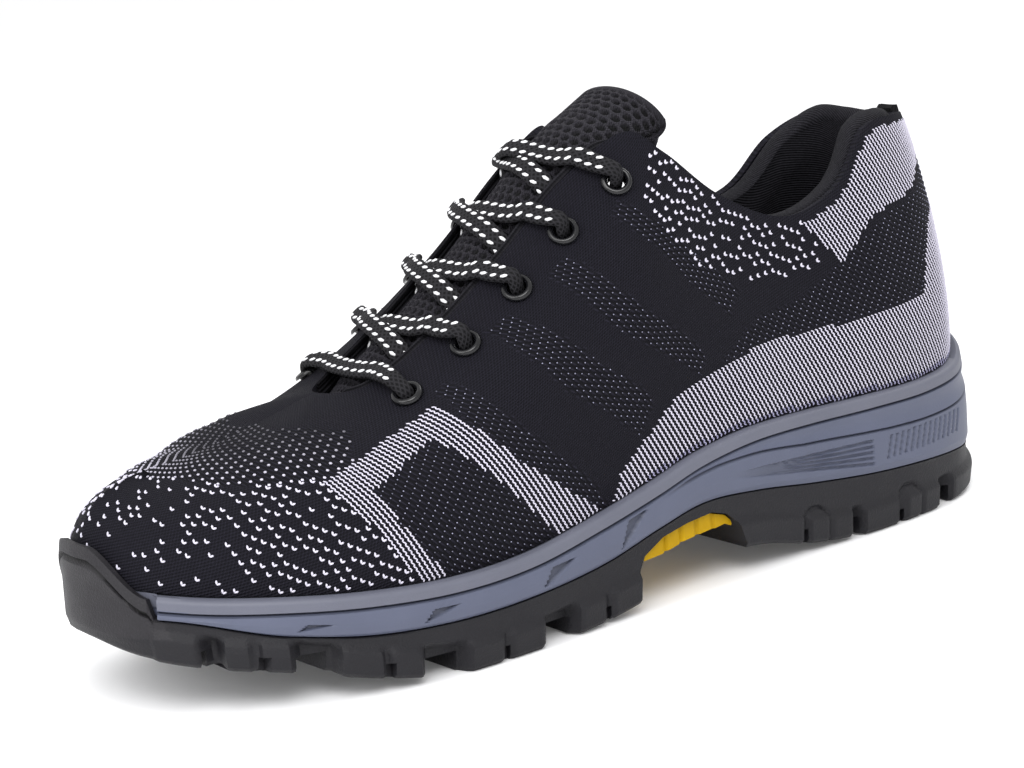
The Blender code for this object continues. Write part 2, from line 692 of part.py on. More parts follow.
# Laces: the lowest bar, and a crossed pair of strands between each two pairs of eyelets
def ribbon(name, rows, across, lift, group=None):
    """A flat cord through points on the instep surface, as one closed solid."""
    centre = lifted(rows, across, lift)
    outward = lifted(rows, across, lift + 0.001) - centre
    outward /= np.linalg.norm(outward, axis=-1, keepdims=True)
    ahead = np.gradient(centre, axis=0)
    beside = np.cross(outward, ahead)
    beside /= np.linalg.norm(beside, axis=-1, keepdims=True)
    shape = [(0.50, 0.0), (0.36, 0.46), (-0.36, 0.46), (-0.50, 0.0), (-0.36, -0.46), (0.36, -0.46)]
    rings = [centre + beside * width * LACE_WIDTH + outward * height * LACE_WALL for width, height in shape]
    return ring_solid(name, np.stack(rings, axis=1), "lace", group)


EYELET_ACROSS = across_at(EYELET_INSET)
EYELET_LIFT = 2 * GAP + EYELET_RIM + LACE_WALL / 2 + 0.0006
EDGE_LIFT = 2 * GAP + LACE_WALL / 2 + 0.0004


def make_lace_bar():
    shares = np.array([-1.0, -0.86, -0.7, -0.5, -0.25, 0.0, 0.25, 0.5, 0.7, 0.86, 1.0])
    lift = EDGE_LIFT + (EYELET_LIFT - EDGE_LIFT) * ease(np.abs(shares), 0.55, 0.8)
    rows = EYELET_STATIONS[0] + 0.45 * (1 - shares ** 2)
    ribbon("lace_bar", rows, shares * EYELET_ACROSS, lift)


def strand(name, lower, upper, side, raised, group=None):
    """From under one throat edge, over the tongue, to the eyelet on the other side."""
    start = lower + 0.40 * (upper - lower)
    share = np.linspace(0, 1, 12)
    across = side * (0.62 - share * (0.62 + EYELET_ACROSS))
    rows = start + (upper - start) * share ** 3
    tongue = -tongue_depth(rows, across) + 2 * GAP + LACE_WALL / 2 + 0.0003
    over = EDGE_LIFT + (EYELET_LIFT - EDGE_LIFT) * ease(np.abs(across), 1.15, 1.45)
    out = ease(-side * across, -0.30, 0.85)
    hump = raised * (LACE_WALL * 0.90) * np.exp(-(across / 0.42) ** 2)
    return ribbon(name, rows, across, tongue * (1 - out) + over * out + hump, group)


def make_lace_crosses():
    levels = list(zip(EYELET_STATIONS[:-1], EYELET_STATIONS[1:]))
    for number, (lower, upper) in enumerate(levels, start=1):
        near_on_top = number < len(levels)
        under = strand(f"lace_cross_{number}", lower, upper, -1 if near_on_top else 1, 0)
        over = strand(f"lace_over_{number}", lower, upper, 1 if near_on_top else -1, 1, CUTTERS)
        cut(under, over, "UNION")


clear_scene()
MATERIALS = make_materials()
PARTS = new_collection("safety_sneaker")
CUTTERS = new_collection("cutters")
make_outsole()
make_midsole()
make_arch_insert()
make_insole()
make_upper()
make_collar_padding()
make_facings()
make_tongue()
make_heel_tape()
make_eyelets()
make_lace_bar()
make_lace_crosses()
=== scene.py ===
"""Looks of the safety sneaker: knit, yarn, padding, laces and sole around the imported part.

Metres, in the part's own frame: +X to the toe, +Y to the outer side, +Z up. Every soft piece is worked
out from the same last as the part: a station "row" from 0 at the heel to 16 at the toe, and a "rise"
from 0 on the foot line to 1 on the top edge.
"""
from collections import namedtuple

import bmesh
import bpy
import numpy as np
from mathutils import Matrix, Vector


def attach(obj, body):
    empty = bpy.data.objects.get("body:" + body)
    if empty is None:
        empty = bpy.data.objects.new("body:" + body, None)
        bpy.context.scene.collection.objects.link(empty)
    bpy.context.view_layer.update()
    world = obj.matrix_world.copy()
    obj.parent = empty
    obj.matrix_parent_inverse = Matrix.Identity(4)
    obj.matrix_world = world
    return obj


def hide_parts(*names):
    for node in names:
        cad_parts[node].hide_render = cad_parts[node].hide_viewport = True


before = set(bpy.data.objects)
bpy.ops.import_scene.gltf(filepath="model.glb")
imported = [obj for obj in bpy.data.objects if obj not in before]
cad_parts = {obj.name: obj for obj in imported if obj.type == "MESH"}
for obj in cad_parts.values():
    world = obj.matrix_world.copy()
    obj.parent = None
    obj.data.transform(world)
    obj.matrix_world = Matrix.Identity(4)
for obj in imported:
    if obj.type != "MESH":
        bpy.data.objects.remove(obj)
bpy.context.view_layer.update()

MM = 0.001
SIDES = ((1, "outer"), (-1, "inner"))

# Main sizes, as in the part
LENGTH = 0.293
BALL_WIDTH = 0.1057
HEEL_WIDTH = 0.070
COLLAR_WIDTH = 0.058
THROAT_WIDTH = 0.0336
HEEL_HEIGHT = 0.115
INSTEP_HEIGHT = 0.126
TOE_HEIGHT = 0.070
FOOT_LINE_HEIGHT = 0.040
TOE_SPRING = 0.020
HEEL_LINE_Y = -0.0014

# Upper and what is sewn to it
UPPER_WALL = 0.0024
COLLAR_PAD = 0.0070
COLLAR_DEPTH = 0.040
COLLAR_LIFT = 0.0038
FACING_WALL = 0.0012
FACING_SHOW = 0.0040
FACING_CURL = 0.0036
TONGUE_WALL = 0.0042
TONGUE_DROP = 0.0085
TONGUE_CROWN = 0.0088
TONGUE_RISE = 0.0006
TONGUE_REACH = 0.0145
TAPE_WIDTH = 0.0110
TAPE_LENGTH = 0.0300
TAPE_WALL = 0.0026

# Instep surface: across is 1 on a throat edge, and one step past it goes APRON metres down the knit
BRIDGE_BEND = 0.10
APRON = BALL_WIDTH / 5
CROWN_DROP = 0.25
TONGUE_TIP = 0.86
TONGUE_HALF = 1.36
TONGUE_SPREAD = 0.24
TONGUE_CLIMB = 0.46

# A rib's length over its straight span
RIB_BOW = 1.08

# Sole
BAND_HEIGHT = 0.0038
TOE_SWEEP = 0.0022
GROOVE_DEPTH = 0.0011
RIM_OUT = 0.0020
SIDE_OUT = 0.0040
BASE_OUT = 0.0024
BUMPER_WALL = 0.0024
LUG_DEPTH = 0.0050
LUG_EDGE = 0.0012
RIDGE_WIDTH = 0.0150
SLIT_WIDTH = 0.0022
SLIT_DEPTH = 0.0016
ARCH_HEIGHT = 0.0220
INSERT_WALL = 0.0045

# Lacing
EYELET_INSET = 0.0150
EYELET_OUTER = 0.0088
EYELET_HOLE = 0.0050
EYELET_RIM = 0.0011
LACE_WIDTH = 0.0062
LACE_WALL = 0.0024

# Clearance between pieces, the distance within which points are merged, and a length that counts as none
GAP = 0.0003
MERGE = 0.000002
TINY = 1e-12

# One row for each rib station, heel to toe, in shares of the sizes above, as in the part
ZONES = {
    "heel": (HEEL_WIDTH / 2, COLLAR_WIDTH / 2, HEEL_HEIGHT),
    "instep": (BALL_WIDTH / 2, THROAT_WIDTH / 2, INSTEP_HEIGHT),
    "toe": (BALL_WIDTH / 2, THROAT_WIDTH / 2, TOE_HEIGHT),
}
Rib = namedtuple("Rib", "zone foot_x foot_out foot_in foot_z top_x top_out top_in top_z "
                        "foot_lean foot_pull top_turn top_drop top_pull")
LAST = [
    Rib("heel", -0.490, 0.000, 0.000, 1.180, -0.459, 0.000, 0.000, 0.991, 6, 0.30, -90, 72, 0.22),
    Rib("heel", -0.478, 0.386, -0.371, 1.110, -0.449, 0.362, -0.362, 1.000, 6, 0.30, -62, 72, 0.22),
    Rib("heel", -0.440, 0.729, -0.700, 1.020, -0.415, 0.655, -0.655, 1.009, 6, 0.30, -38, 74, 0.24),
    Rib("heel", -0.379, 0.929, -0.886, 0.995, -0.363, 0.810, -0.810, 0.996, 5, 0.32, -18, 76, 0.26),
    Rib("heel", -0.300, 1.029, -0.943, 1.008, -0.312, 0.931, -0.931, 0.870, 4, 0.33, -6, 78, 0.30),
    Rib("heel", -0.218, 1.071, -0.929, 1.025, -0.239, 1.000, -0.983, 0.826, 4, 0.33, 0, 80, 0.33),
    Rib("heel", -0.143, 1.129, -0.914, 1.025, -0.164, 1.000, -0.983, 0.913, 4, 0.34, 0, 76, 0.33),
    Rib("heel", -0.075, 1.186, -0.929, 0.965, -0.109, 0.931, -0.914, 1.039, 4, 0.35, 0, 66, 0.30),
    Rib("instep", -0.014, 0.827, -0.653, 0.860, -0.078, 1.232, -1.232, 1.000, 4, 0.36, 5, 50, 0.30),
    Rib("instep", 0.055, 0.870, -0.719, 0.755, -0.010, 1.000, -1.000, 0.911, 4, 0.38, 10, 42, 0.32),
    Rib("instep", 0.137, 0.918, -0.810, 0.658, 0.061, 0.946, -0.970, 0.777, 5, 0.40, 14, 34, 0.34),
    Rib("instep", 0.218, 0.937, -0.870, 0.643, 0.137, 0.887, -0.917, 0.651, 6, 0.42, 20, 27, 0.36),
    Rib("instep", 0.297, 0.889, -0.882, 0.683, 0.205, 0.685, -0.744, 0.563, 6, 0.42, 30, 20, 0.38),
    Rib("toe", 0.365, 0.766, -0.819, 0.740, 0.239, -0.030, -0.030, 0.993, 5, 0.40, 40, 8, 0.42),
    Rib("toe", 0.423, 0.568, -0.672, 0.793, 0.300, -0.143, -0.143, 0.919, 3, 0.36, 50, 7, 0.46),
    Rib("toe", 0.466, 0.291, -0.435, 0.848, 0.362, -0.226, -0.226, 0.861, 1, 0.36, 66, 7, 0.54),
    Rib("toe", 0.483, -0.072, -0.072, 0.873, 0.413, -0.286, -0.286, 0.836, 1, 0.36, 90, 7, 0.62),
]
TOE = len(LAST) - 1
THROAT_TOP = 8
THROAT_FRONT = 13
COLLAR_END = 6.7
EYELET_STATIONS = (11.48, 10.68, 9.92, 9.15, 8.33)
INNER_DIP = {3: 0.041, 4: 0.030, 5: 0.010}

SoleRow = namedtuple("SoleRow", "seam tread")
SOLE = [
    SoleRow(0.330, 0.16), SoleRow(0.338, 0.09), SoleRow(0.365, 0.02), SoleRow(0.398, 0.00),
    SoleRow(0.438, 0.00), SoleRow(0.503, 0.11), SoleRow(0.583, 0.36), SoleRow(0.618, 0.42),
    SoleRow(0.543, 0.22), SoleRow(0.430, 0.06), SoleRow(0.372, 0.00), SoleRow(0.365, 0.00),
    SoleRow(0.405, 0.22), SoleRow(0.495, 0.49), SoleRow(0.590, 0.66), SoleRow(0.635, 0.84),
    SoleRow(0.650, 1.00),
]
MIDSOLE_END = (14.60, 14.66)
BUMPER_START = (14.69, 14.76)
BUMPER_FULL = 15.70
BUMPER_LOW = 0.800
BUMPER_HIGH = 1.120

Tread = namedtuple("Tread", "front back lean")
TREAD_GAPS = [
    Tread(0.4250, 0.4190, 6), Tread(0.3610, 0.3330, 5), Tread(0.2530, 0.2190, 3),
    Tread(0.1270, 0.0970, 0), Tread(-0.2660, -0.2710, -2), Tread(-0.3910, -0.4040, -4),
]
TREAD_SLITS = (0.3920, 0.2900, 0.1750, 0.0560, -0.2000, -0.3300)
ArchRow = namedtuple("ArchRow", "place roof")
ARCH = [
    ArchRow(0.0160, 0.10), ArchRow(0.0145, 0.52), ArchRow(0.0060, 0.70), ArchRow(-0.0190, 0.86),
    ArchRow(-0.0500, 0.93), ArchRow(-0.0820, 0.96), ArchRow(-0.1010, 0.88), ArchRow(-0.1120, 0.74),
    ArchRow(-0.1220, 0.42), ArchRow(-0.1230, 0.10),
]
INSERT_ENDS = (0.0040, -0.1080)
INSERT_NOTCHES = np.array([-7.0, -13.0, -19.0, -25.0])

# The knit laid flat, in millimetres: u runs along the foot line from the heel seam, v up the rib.
# WALE steps from one line of stitches to the next, and COURSE along a line.
WALE = np.array([-2.10, -1.02])
COURSE = np.array([-0.592, -1.125])
LEVEL_STROKE = np.array([-0.836, -0.407])
EDGE_BAND = 3.0
YARN_LIFT = 0.10
FLECK_SPACE = 2.0

# The zones of the pattern
CHEVRON = [
    (255.4, 30), (236, 40.9), (218.2, 48.9), (213, 38.5), (202.2, 24.6), (190.3, 12.9), (176.4, 0),
    (192.7, 0), (204.2, 14.3), (216.4, 29), (224.8, 37.6), (244.6, 26), (240, 16.3), (229.1, 0),
    (237.2, 0), (244, 10.8), (251.2, 21.6),
]
CHEVRON_MESH = [(224.8, 37.6), (244.6, 26), (240, 16.3), (229.1, 0), (192.7, 0), (204.2, 14.3), (216.4, 29)]
REAR = [
    (172.9, 0), (168.9, 7.7), (156.6, 13.8), (146.7, 18.4), (127.7, 20), (104.3, 22.2), (79.4, 22.2),
    (61.4, 23.2), (43.9, 24.6), (36.6, 39.1), (30.9, 44), (0, 46), (0, 0),
]
HEEL_BAND = [
    (86.2, 52.3), (75.5, 39.4), (68.8, 43.9), (62.1, 49.9), (53.3, 52.7), (39.5, 54.7), (35, 57.5),
    (22, 62), (20, 95), (80, 95), (80, 56),
]
COLLAR_FLECKS = [
    (133.7, 90), (144.5, 76.3), (139.3, 63.6), (128.9, 47.9), (110.1, 39.9), (85.4, 37), (80, 44),
    (89, 56), (110, 70),
]
VAMP_MESH = [
    (332, 34.3), (294.6, 34.1), (279.1, 30.9), (263.9, 29.8), (255.4, 30), (244.8, 34.6),
    (239.4, 48.9), (246.8, 50.8), (261.7, 57.1), (263.2, 80), (340, 80),
]
TOE_FLECKS = [
    (332, 34.3), (294.6, 34.1), (279.1, 30.9), (263.9, 29.8), (255.4, 30), (251.2, 21.6), (244, 10.8),
    (237.2, 0), (340, 0),
]
QUARTER_BANDS = [
    [(215.4, 52.6), (211.9, 54.4), (199.4, 33.8), (189.1, 20.9), (176.5, 5.5), (173.7, 0), (176.4, 0),
     (190.3, 12.9), (202.2, 24.6), (213, 38.5)],
    [(196.5, 65), (189.7, 66.3), (173, 42.8), (153.6, 21.5), (160.5, 14), (184.3, 39.3)],
    [(176.6, 71.3), (169.5, 73.1), (153.7, 49.3), (132.5, 25.5), (135.6, 20), (161.9, 45.4)],
    [(153.2, 78.4), (149.3, 80.7), (131.1, 54.8), (114.8, 38.1), (120.6, 32.2), (133.8, 46.1)],
]
HEEL_MESH = [
    (110.5, 29), (92.8, 31), (75.5, 39.2), (54.9, 49.6), (36.5, 53), (22, 60), (0, 62), (0, 46),
    (30.9, 44), (36.6, 39.1), (43.9, 24.6), (61.4, 23.2), (79.4, 22.2), (104.3, 22.2), (127.7, 20),
]

# Soft creases in the knit, in flat millimetres: a trough where depth is positive, a ridge otherwise
Crease = namedtuple("Crease", "u0 v0 u1 v1 width depth")
CREASES = [
    Crease(268, 8, 277, 56, 7.0, 0.55), Crease(281, 10, 288, 48, 6.0, -0.35),
    Crease(252, 34, 262, 62, 5.0, 0.35), Crease(236, 20, 246, 44, 6.0, 0.40),
    Crease(214, 50, 184, 20, 7.0, 0.45), Crease(176, 56, 150, 24, 7.0, 0.40),
    Crease(160, 66, 128, 34, 8.0, -0.35), Crease(104, 24, 66, 30, 7.0, 0.40),
    Crease(58, 26, 44, 58, 7.0, 0.35), Crease(92, 40, 60, 52, 6.0, -0.25),
    Crease(230, 6, 190, 10, 5.0, 0.30), Crease(140, 8, 100, 12, 6.0, 0.30),
]

# The camera: bearing, height and roll in degrees, distance and aim in metres, lens in millimetres
VIEW_BEARING = 148.1
VIEW_HEIGHT = 11.9
VIEW_ROLL = -6.35
VIEW_DISTANCE = 0.776
VIEW_AIM = Vector((0.0028, -0.0102, 0.0568))
VIEW_LENS = 96.12
FILM_WIDTH = 36.0


# The last
def round_loop(outer, inner):
    return np.array(list(outer) + list(inner)[TOE - 1:0:-1], float)


def curve_at(part, before, start, end, after):
    """A Catmull-Rom curve between start and end."""
    bend = 2 * before - 5 * start + 4 * end - after
    return start + 0.5 * part * (end - before + part * (bend + part * (3 * (start - end) + after - before)))


def cubic(share, start, near, far, end):
    """A cubic Bezier curve."""
    rest = 1 - share
    return rest ** 3 * start + 3 * rest ** 2 * share * near + 3 * rest * share ** 2 * far + share ** 3 * end


def unit(vectors, least=0):
    """The vectors at length one. A small least keeps a vector of no length from dividing by zero."""
    return vectors / (np.linalg.norm(vectors, axis=-1, keepdims=True) + least)


def paired(first, second):
    return np.broadcast_arrays(np.asarray(first, float), np.asarray(second, float))


def run_along(points):
    """The distance of each point from the first one, along the line."""
    return np.concatenate([[0], np.cumsum(np.linalg.norm(np.diff(points, axis=0), axis=1))])


def spline(knots, row):
    """A closed curve through the knots, read at station numbers."""
    row = np.asarray(row, float)
    base = np.floor(row).astype(int)
    return curve_at((row - base)[..., None], *[knots[(base + step) % len(knots)] for step in (-1, 0, 1, 2)])


def foot_knots(side):
    knots = []
    for rib in LAST:
        half = ZONES[rib.zone][0]
        share = rib.foot_out if side > 0 else rib.foot_in
        knots.append((rib.foot_x * LENGTH, share * half + HEEL_LINE_Y, rib.foot_z * FOOT_LINE_HEIGHT))
    return knots


def top_knots(side):
    knots = []
    for station, rib in enumerate(LAST):
        half, rise = ZONES[rib.zone][1:]
        share = rib.top_out if side > 0 else rib.top_in
        height = rib.top_z - (0 if side > 0 else INNER_DIP.get(station, 0))
        knots.append((rib.top_x * LENGTH, share * half + HEEL_LINE_Y, height * rise))
    return knots


FOOT = round_loop(foot_knots(1), foot_knots(-1))
TOP = round_loop(top_knots(1), top_knots(-1))
EDGE = np.array(top_knots(1)[:THROAT_FRONT + 1] + top_knots(-1)[THROAT_FRONT - 1:0:-1])
SHAPE = round_loop([rib[9:] for rib in LAST], [rib[9:] for rib in LAST])
SOLE_LINES = round_loop(SOLE, SOLE)


def along(row, side):
    """A station's place on the loops, which run up the outer side and back down the inner one."""
    row = np.asarray(row, float)
    return row if side > 0 else (2 * TOE - row) % (2 * TOE)


def foot_point(row, side):
    return spline(FOOT, along(row, side))


def foot_normal(row, side):
    """Level and square to the foot line, pointing away from the shoe."""
    step = 0.001
    here = along(row, side)
    ahead = spline(FOOT, here + step) - spline(FOOT, here - step)
    return unit(np.stack([-ahead[..., 1], ahead[..., 0], 0 * ahead[..., 0]], axis=-1))


def top_point(row, side):
    """On the collar and throat edge, which is one closed loop, or on the toe ridge ahead of it."""
    row = np.asarray(row, float)
    loop = row if side > 0 else (2 * THROAT_FRONT - row) % (2 * THROAT_FRONT)
    edge = spline(EDGE, np.where(row < THROAT_FRONT, loop, 0))
    ridge = (spline(TOP, along(row, 1)) + spline(TOP, along(row, -1))) / 2
    return np.where((row < THROAT_FRONT)[..., None], edge, ridge)


def rib_drop(row, side):
    """The direction in which the knit leaves its top edge, going down."""
    shape = spline(SHAPE, along(row, side))
    turn, drop = np.radians(shape[..., 2]), np.radians(shape[..., 3])
    level = np.cos(drop)
    return np.stack([np.sin(turn) * level, side * np.cos(turn) * level, -np.sin(drop)], axis=-1)


def upper_point(row, rise, side):
    """The knit's outer face: rise is 0 on the foot line and 1 on the top edge."""
    foot, top = foot_point(row, side), top_point(row, side)
    shape = spline(SHAPE, along(row, side))
    span = np.linalg.norm(top - foot, axis=-1, keepdims=True)
    lean = np.radians(shape[..., 0:1])
    up = np.array([0.0, 0.0, 1.0])
    low = foot + span * shape[..., 1:2] * (foot_normal(row, side) * np.sin(lean) + up * np.cos(lean))
    high = top + span * shape[..., 4:5] * rib_drop(row, side)
    return cubic(np.asarray(rise, float)[..., None], foot, low, high, top)


def surface_normal(surface, first, second, outward):
    """The unit normal of surface(first, second), turned to the side of outward."""
    step = 0.002
    across = surface(first + step, second) - surface(first - step, second)
    up = surface(first, second + step) - surface(first, second - step)
    normal = unit(np.cross(across, up), TINY)
    turned = np.sum(normal * outward, axis=-1, keepdims=True) < 0
    return np.where(turned, -normal, normal)


def upper_normal(row, rise, side):
    row, rise = paired(row, rise)
    outward = foot_normal(row, side) + np.array([0.0, 0.0, 0.5])
    inner = np.clip(rise, 0.002, 0.998)
    return surface_normal(lambda a, b: upper_point(a, b, side), row, inner, outward)


def rise_below_top(row, side, distance):
    """The rise at which the knit is that distance down from its top edge."""
    span = np.linalg.norm(top_point(row, side) - foot_point(row, side), axis=-1)
    return 1 - distance / (span * RIB_BOW)


def bridge(row, across):
    """The instep surface: across is 1 and -1 on the throat edges and runs on down under them."""
    row, across = paired(row, across)
    inside = np.maximum(row, THROAT_TOP)
    outer, inner = top_point(inside, 1), top_point(inside, -1)
    width = np.linalg.norm(outer - inner, axis=-1, keepdims=True)
    low = inner - BRIDGE_BEND * width * rib_drop(inside, -1)
    high = outer - BRIDGE_BEND * width * rib_drop(inside, 1)
    share = ((np.clip(across, -1, 1) + 1) / 2)[..., None]
    points = cubic(share, inner, low, high, outer)
    past = (np.abs(across) - 1) * APRON
    for side in (1, -1):
        apron = upper_point(inside, rise_below_top(inside, side, np.maximum(past, 0)), side)
        points = np.where((side * across > 1)[..., None], apron, points)
    beyond = np.maximum(THROAT_TOP - row, 0)[..., None]
    crown = (1 - CROWN_DROP * across ** 2)[..., None]
    spread = (points[..., 1:2] - HEEL_LINE_Y) * TONGUE_SPREAD
    lift = np.array([-TONGUE_REACH, 0, 0]) + np.array([0, 1, 0]) * spread
    return points + beyond * (lift + crown * np.array([0, 0, TONGUE_REACH * TONGUE_CLIMB]))


def lifted(row, across, height):
    """A point that far above the instep surface."""
    row, across = paired(row, across)
    outward = np.stack([0 * row + 0.2, across * 0.5, 0 * row + 1.0], axis=-1)
    normal = surface_normal(bridge, row, across, outward)
    return bridge(row, across) + normal * np.asarray(height)[..., None]


def across_at(distance):
    """The across value of a point that far down from the throat edge."""
    return 1 + distance / APRON


def ease(value, start, end):
    share = np.clip((value - start) / (end - start), 0, 1)
    return share * share * (3 - 2 * share)


# The knit laid flat, and the search that reads it backwards
FLAT_STEPS = (640, 160)
SEARCH_TURNS = 16
SEARCH_MISS = 0.2
EDGE_CALM = 8


def flat_table(side):
    """u and v, in millimetres, on an even grid of stations and rises."""
    rows = np.linspace(0, TOE, FLAT_STEPS[0] + 1)
    rises = np.linspace(0, 1, FLAT_STEPS[1] + 1)
    points = upper_point(rows[:, None], rises[None, :], side) / MM
    foot = points[:, 0]
    run = run_along(foot)
    climb = np.zeros(points.shape[:2])
    climb[:, 1:] = np.cumsum(np.linalg.norm(np.diff(points, axis=1), axis=2), axis=1)
    beside = np.abs(foot_normal(rows, side)[:, 1])
    ahead = run[:, None] + (points[..., 0] - points[:, :1, 0]) * beside[:, None]
    return np.stack([ahead, climb], axis=-1)


FLAT = {1: flat_table(1), -1: flat_table(-1)}


def read_table(table, first, second):
    """The table between its entries, at fractional indices."""
    first = np.clip(first, 0, table.shape[0] - 1.001)
    second = np.clip(second, 0, table.shape[1] - 1.001)
    i, j = first.astype(int), second.astype(int)
    f, g = (first - i)[..., None], (second - j)[..., None]
    near = table[i, j] * (1 - f) + table[i + 1, j] * f
    far = table[i, j + 1] * (1 - f) + table[i + 1, j + 1] * f
    return near * (1 - g) + far * g


def flat_at(row, rise, side):
    row, rise = paired(row, rise)
    return read_table(FLAT[side], row / TOE * FLAT_STEPS[0], rise * FLAT_STEPS[1])


def from_flat(places, side):
    """Stations and rises of flat places, found by Newton's method, and whether each was found."""
    table = FLAT[side]
    first = np.interp(places[:, 0], table[:, 0, 0], np.arange(len(table)))
    second = np.full(len(places), FLAT_STEPS[1] / 2)
    for _ in range(SEARCH_TURNS):
        miss = places - read_table(table, first, second)
        down = (read_table(table, first + 1, second) - read_table(table, first - 1, second)) / 2
        side_way = (read_table(table, first, second + 1) - read_table(table, first, second - 1)) / 2
        scale = down[:, 0] * side_way[:, 1] - down[:, 1] * side_way[:, 0]
        scale = np.where(np.abs(scale) < 1e-6, 1e-6, scale)
        step = (miss[:, 0] * side_way[:, 1] - miss[:, 1] * side_way[:, 0]) / scale
        climb = (miss[:, 1] * down[:, 0] - miss[:, 0] * down[:, 1]) / scale
        first = np.clip(first + np.clip(step, -40, 40), 0, FLAT_STEPS[0])
        second = np.clip(second + np.clip(climb, -30, 30), 0, FLAT_STEPS[1])
    found = np.linalg.norm(places - read_table(table, first, second), axis=1) < SEARCH_MISS
    return first / FLAT_STEPS[0] * TOE, second / FLAT_STEPS[1], found


def inside(outline, places):
    """Whether each flat place lies within the outline."""
    u, v = places[..., 0], places[..., 1]
    within = np.zeros(u.shape, bool)
    for (u0, v0), (u1, v1) in zip(outline, outline[1:] + outline[:1]):
        if v0 == v1:
            continue
        crosses = (v0 > v) != (v1 > v)
        within ^= crosses & (u < (u1 - u0) * (v - v0) / (v1 - v0) + u0)
    return within


def creased(flat):
    """How far the creases push the knit outwards, in metres."""
    push = np.zeros(flat.shape[:-1])
    for crease in CREASES:
        start = np.array([crease.u0, crease.v0])
        run = np.array([crease.u1, crease.v1]) - start
        share = np.clip(((flat - start) @ run) / (run @ run), 0, 1)
        away = np.linalg.norm(flat - start - share[..., None] * run, axis=-1)
        fade = np.sin(np.pi * np.clip(share * 0.8 + 0.1, 0, 1))
        push -= crease.depth * MM * fade * np.exp(-(away / crease.width) ** 2 * 2)
    return push


def knit_face(row, rise, side, lift):
    """A point that far above the creased knit."""
    row, rise = paired(row, rise)
    calm = np.clip(rise * EDGE_CALM, 0, 1) * np.clip((1 - rise) * EDGE_CALM, 0, 1)
    push = creased(flat_at(row, rise, side)) * calm + lift
    return upper_point(row, rise, side) + upper_normal(row, rise, side) * push[..., None]


# Mesh helpers: edges sharper than these angles stay sharp, and closed ends reach out a little
SHARP_ANGLE = 40
SOFT_ANGLE = 60
END_REACH = 0.8


def woven(points, flat, shade_marks=None):
    """A bmesh grid moved to points[row, column], with flat[row, column] as its UV map.

    marks[row, column], where given, is painted shade kept on the points for the material to read."""
    rows, columns = points.shape[:2]
    bm = bmesh.new()
    bmesh.ops.create_grid(bm, x_segments=columns - 1, y_segments=rows - 1, size=0.5)
    layer = bm.loops.layers.uv.new("flat")
    mark = bm.verts.layers.float.new("mark")
    place = {}
    for vert in bm.verts:
        column = round((vert.co.x + 0.5) * (columns - 1))
        row = round((vert.co.y + 0.5) * (rows - 1))
        place[vert] = (row, column)
        vert.co = points[row, column]
        if shade_marks is not None:
            vert[mark] = shade_marks[row, column]
    for face in bm.faces:
        for loop in face.loops:
            loop[layer].uv = flat[place[loop.vert]]
    bmesh.ops.remove_doubles(bm, verts=bm.verts, dist=MERGE)
    return bm


def grid_lengths(points):
    """UV places measured along the grid's own rows and columns, in metres."""
    down = np.linalg.norm(np.diff(points, axis=0), axis=2).mean(axis=1)
    across = np.linalg.norm(np.diff(points, axis=1), axis=2).mean(axis=0)
    v = np.concatenate([[0], np.cumsum(down)])
    u = np.concatenate([[0], np.cumsum(across)])
    return np.stack(np.broadcast_arrays(u[None, :], v[:, None]), axis=-1)


def plain_mesh(name, bm):
    mesh = bpy.data.meshes.new(name)
    bm.to_mesh(mesh)
    bm.free()
    return mesh


def placed(name, data):
    """A new object in the scene, at the origin."""
    item = bpy.data.objects.new(name, data)
    bpy.context.scene.collection.objects.link(item)
    return item


def finish_piece(name, bm, material, replaced=(), angle=SHARP_ANGLE):
    return finish_mesh(name, plain_mesh(name, bm), material, replaced, angle)


def finish_mesh(name, mesh, material, replaced=(), angle=SHARP_ANGLE):
    mesh.shade_smooth()
    if angle:
        mesh.set_sharp_from_angle(angle=np.radians(angle))
    mesh.materials.clear()
    mesh.materials.append(material)
    item = placed(name, mesh)
    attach(item, "root")
    if replaced:
        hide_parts(*replaced)
    return item


def ring_bmesh(rings, shade_marks=None):
    """A closed bmesh through a row of closed rings, with flat ends."""
    closed = np.concatenate([rings, rings[:, :1]], axis=1)
    if shade_marks is not None:
        shade_marks = np.concatenate([shade_marks, shade_marks[:, :1]], axis=1)
    bm = woven(closed, grid_lengths(closed), shade_marks)
    edges = [edge for edge in bm.edges if edge.is_boundary]
    if edges:
        bmesh.ops.holes_fill(bm, edges=edges, sides=0)
    bmesh.ops.recalc_face_normals(bm, faces=bm.faces)
    return bm


def slab_bmesh(outer, inner, shade_marks=None):
    """A closed bmesh between two faces of the same rows and columns, drawn together at both ends."""
    front = (outer[0] + inner[0]) / 2 + (outer[0] - outer[1]) * END_REACH
    back = (outer[-1] + inner[-1]) / 2 + (outer[-1] - outer[-2]) * END_REACH
    outer = np.concatenate([front[None], outer, back[None]])
    inner = np.concatenate([front[None], inner, back[None]])
    if shade_marks is not None:
        shade_marks = np.pad(np.concatenate([shade_marks, 0 * shade_marks], axis=1), ((1, 1), (0, 0)))
    return ring_bmesh(np.concatenate([outer, inner[:, ::-1]], axis=1), shade_marks)


def helper_object(name, bm):
    """An object for a Boolean, which is removed afterwards."""
    return placed(name, plain_mesh(name, bm))


def applied(item):
    """The object's mesh with its modifiers, after which the object is removed."""
    bpy.context.view_layer.update()
    graph = bpy.context.evaluated_depsgraph_get()
    result = item.evaluated_get(graph)
    mesh = bpy.data.meshes.new_from_object(result, preserve_all_data_layers=True, depsgraph=graph)
    bpy.data.objects.remove(item, do_unlink=True)
    return mesh


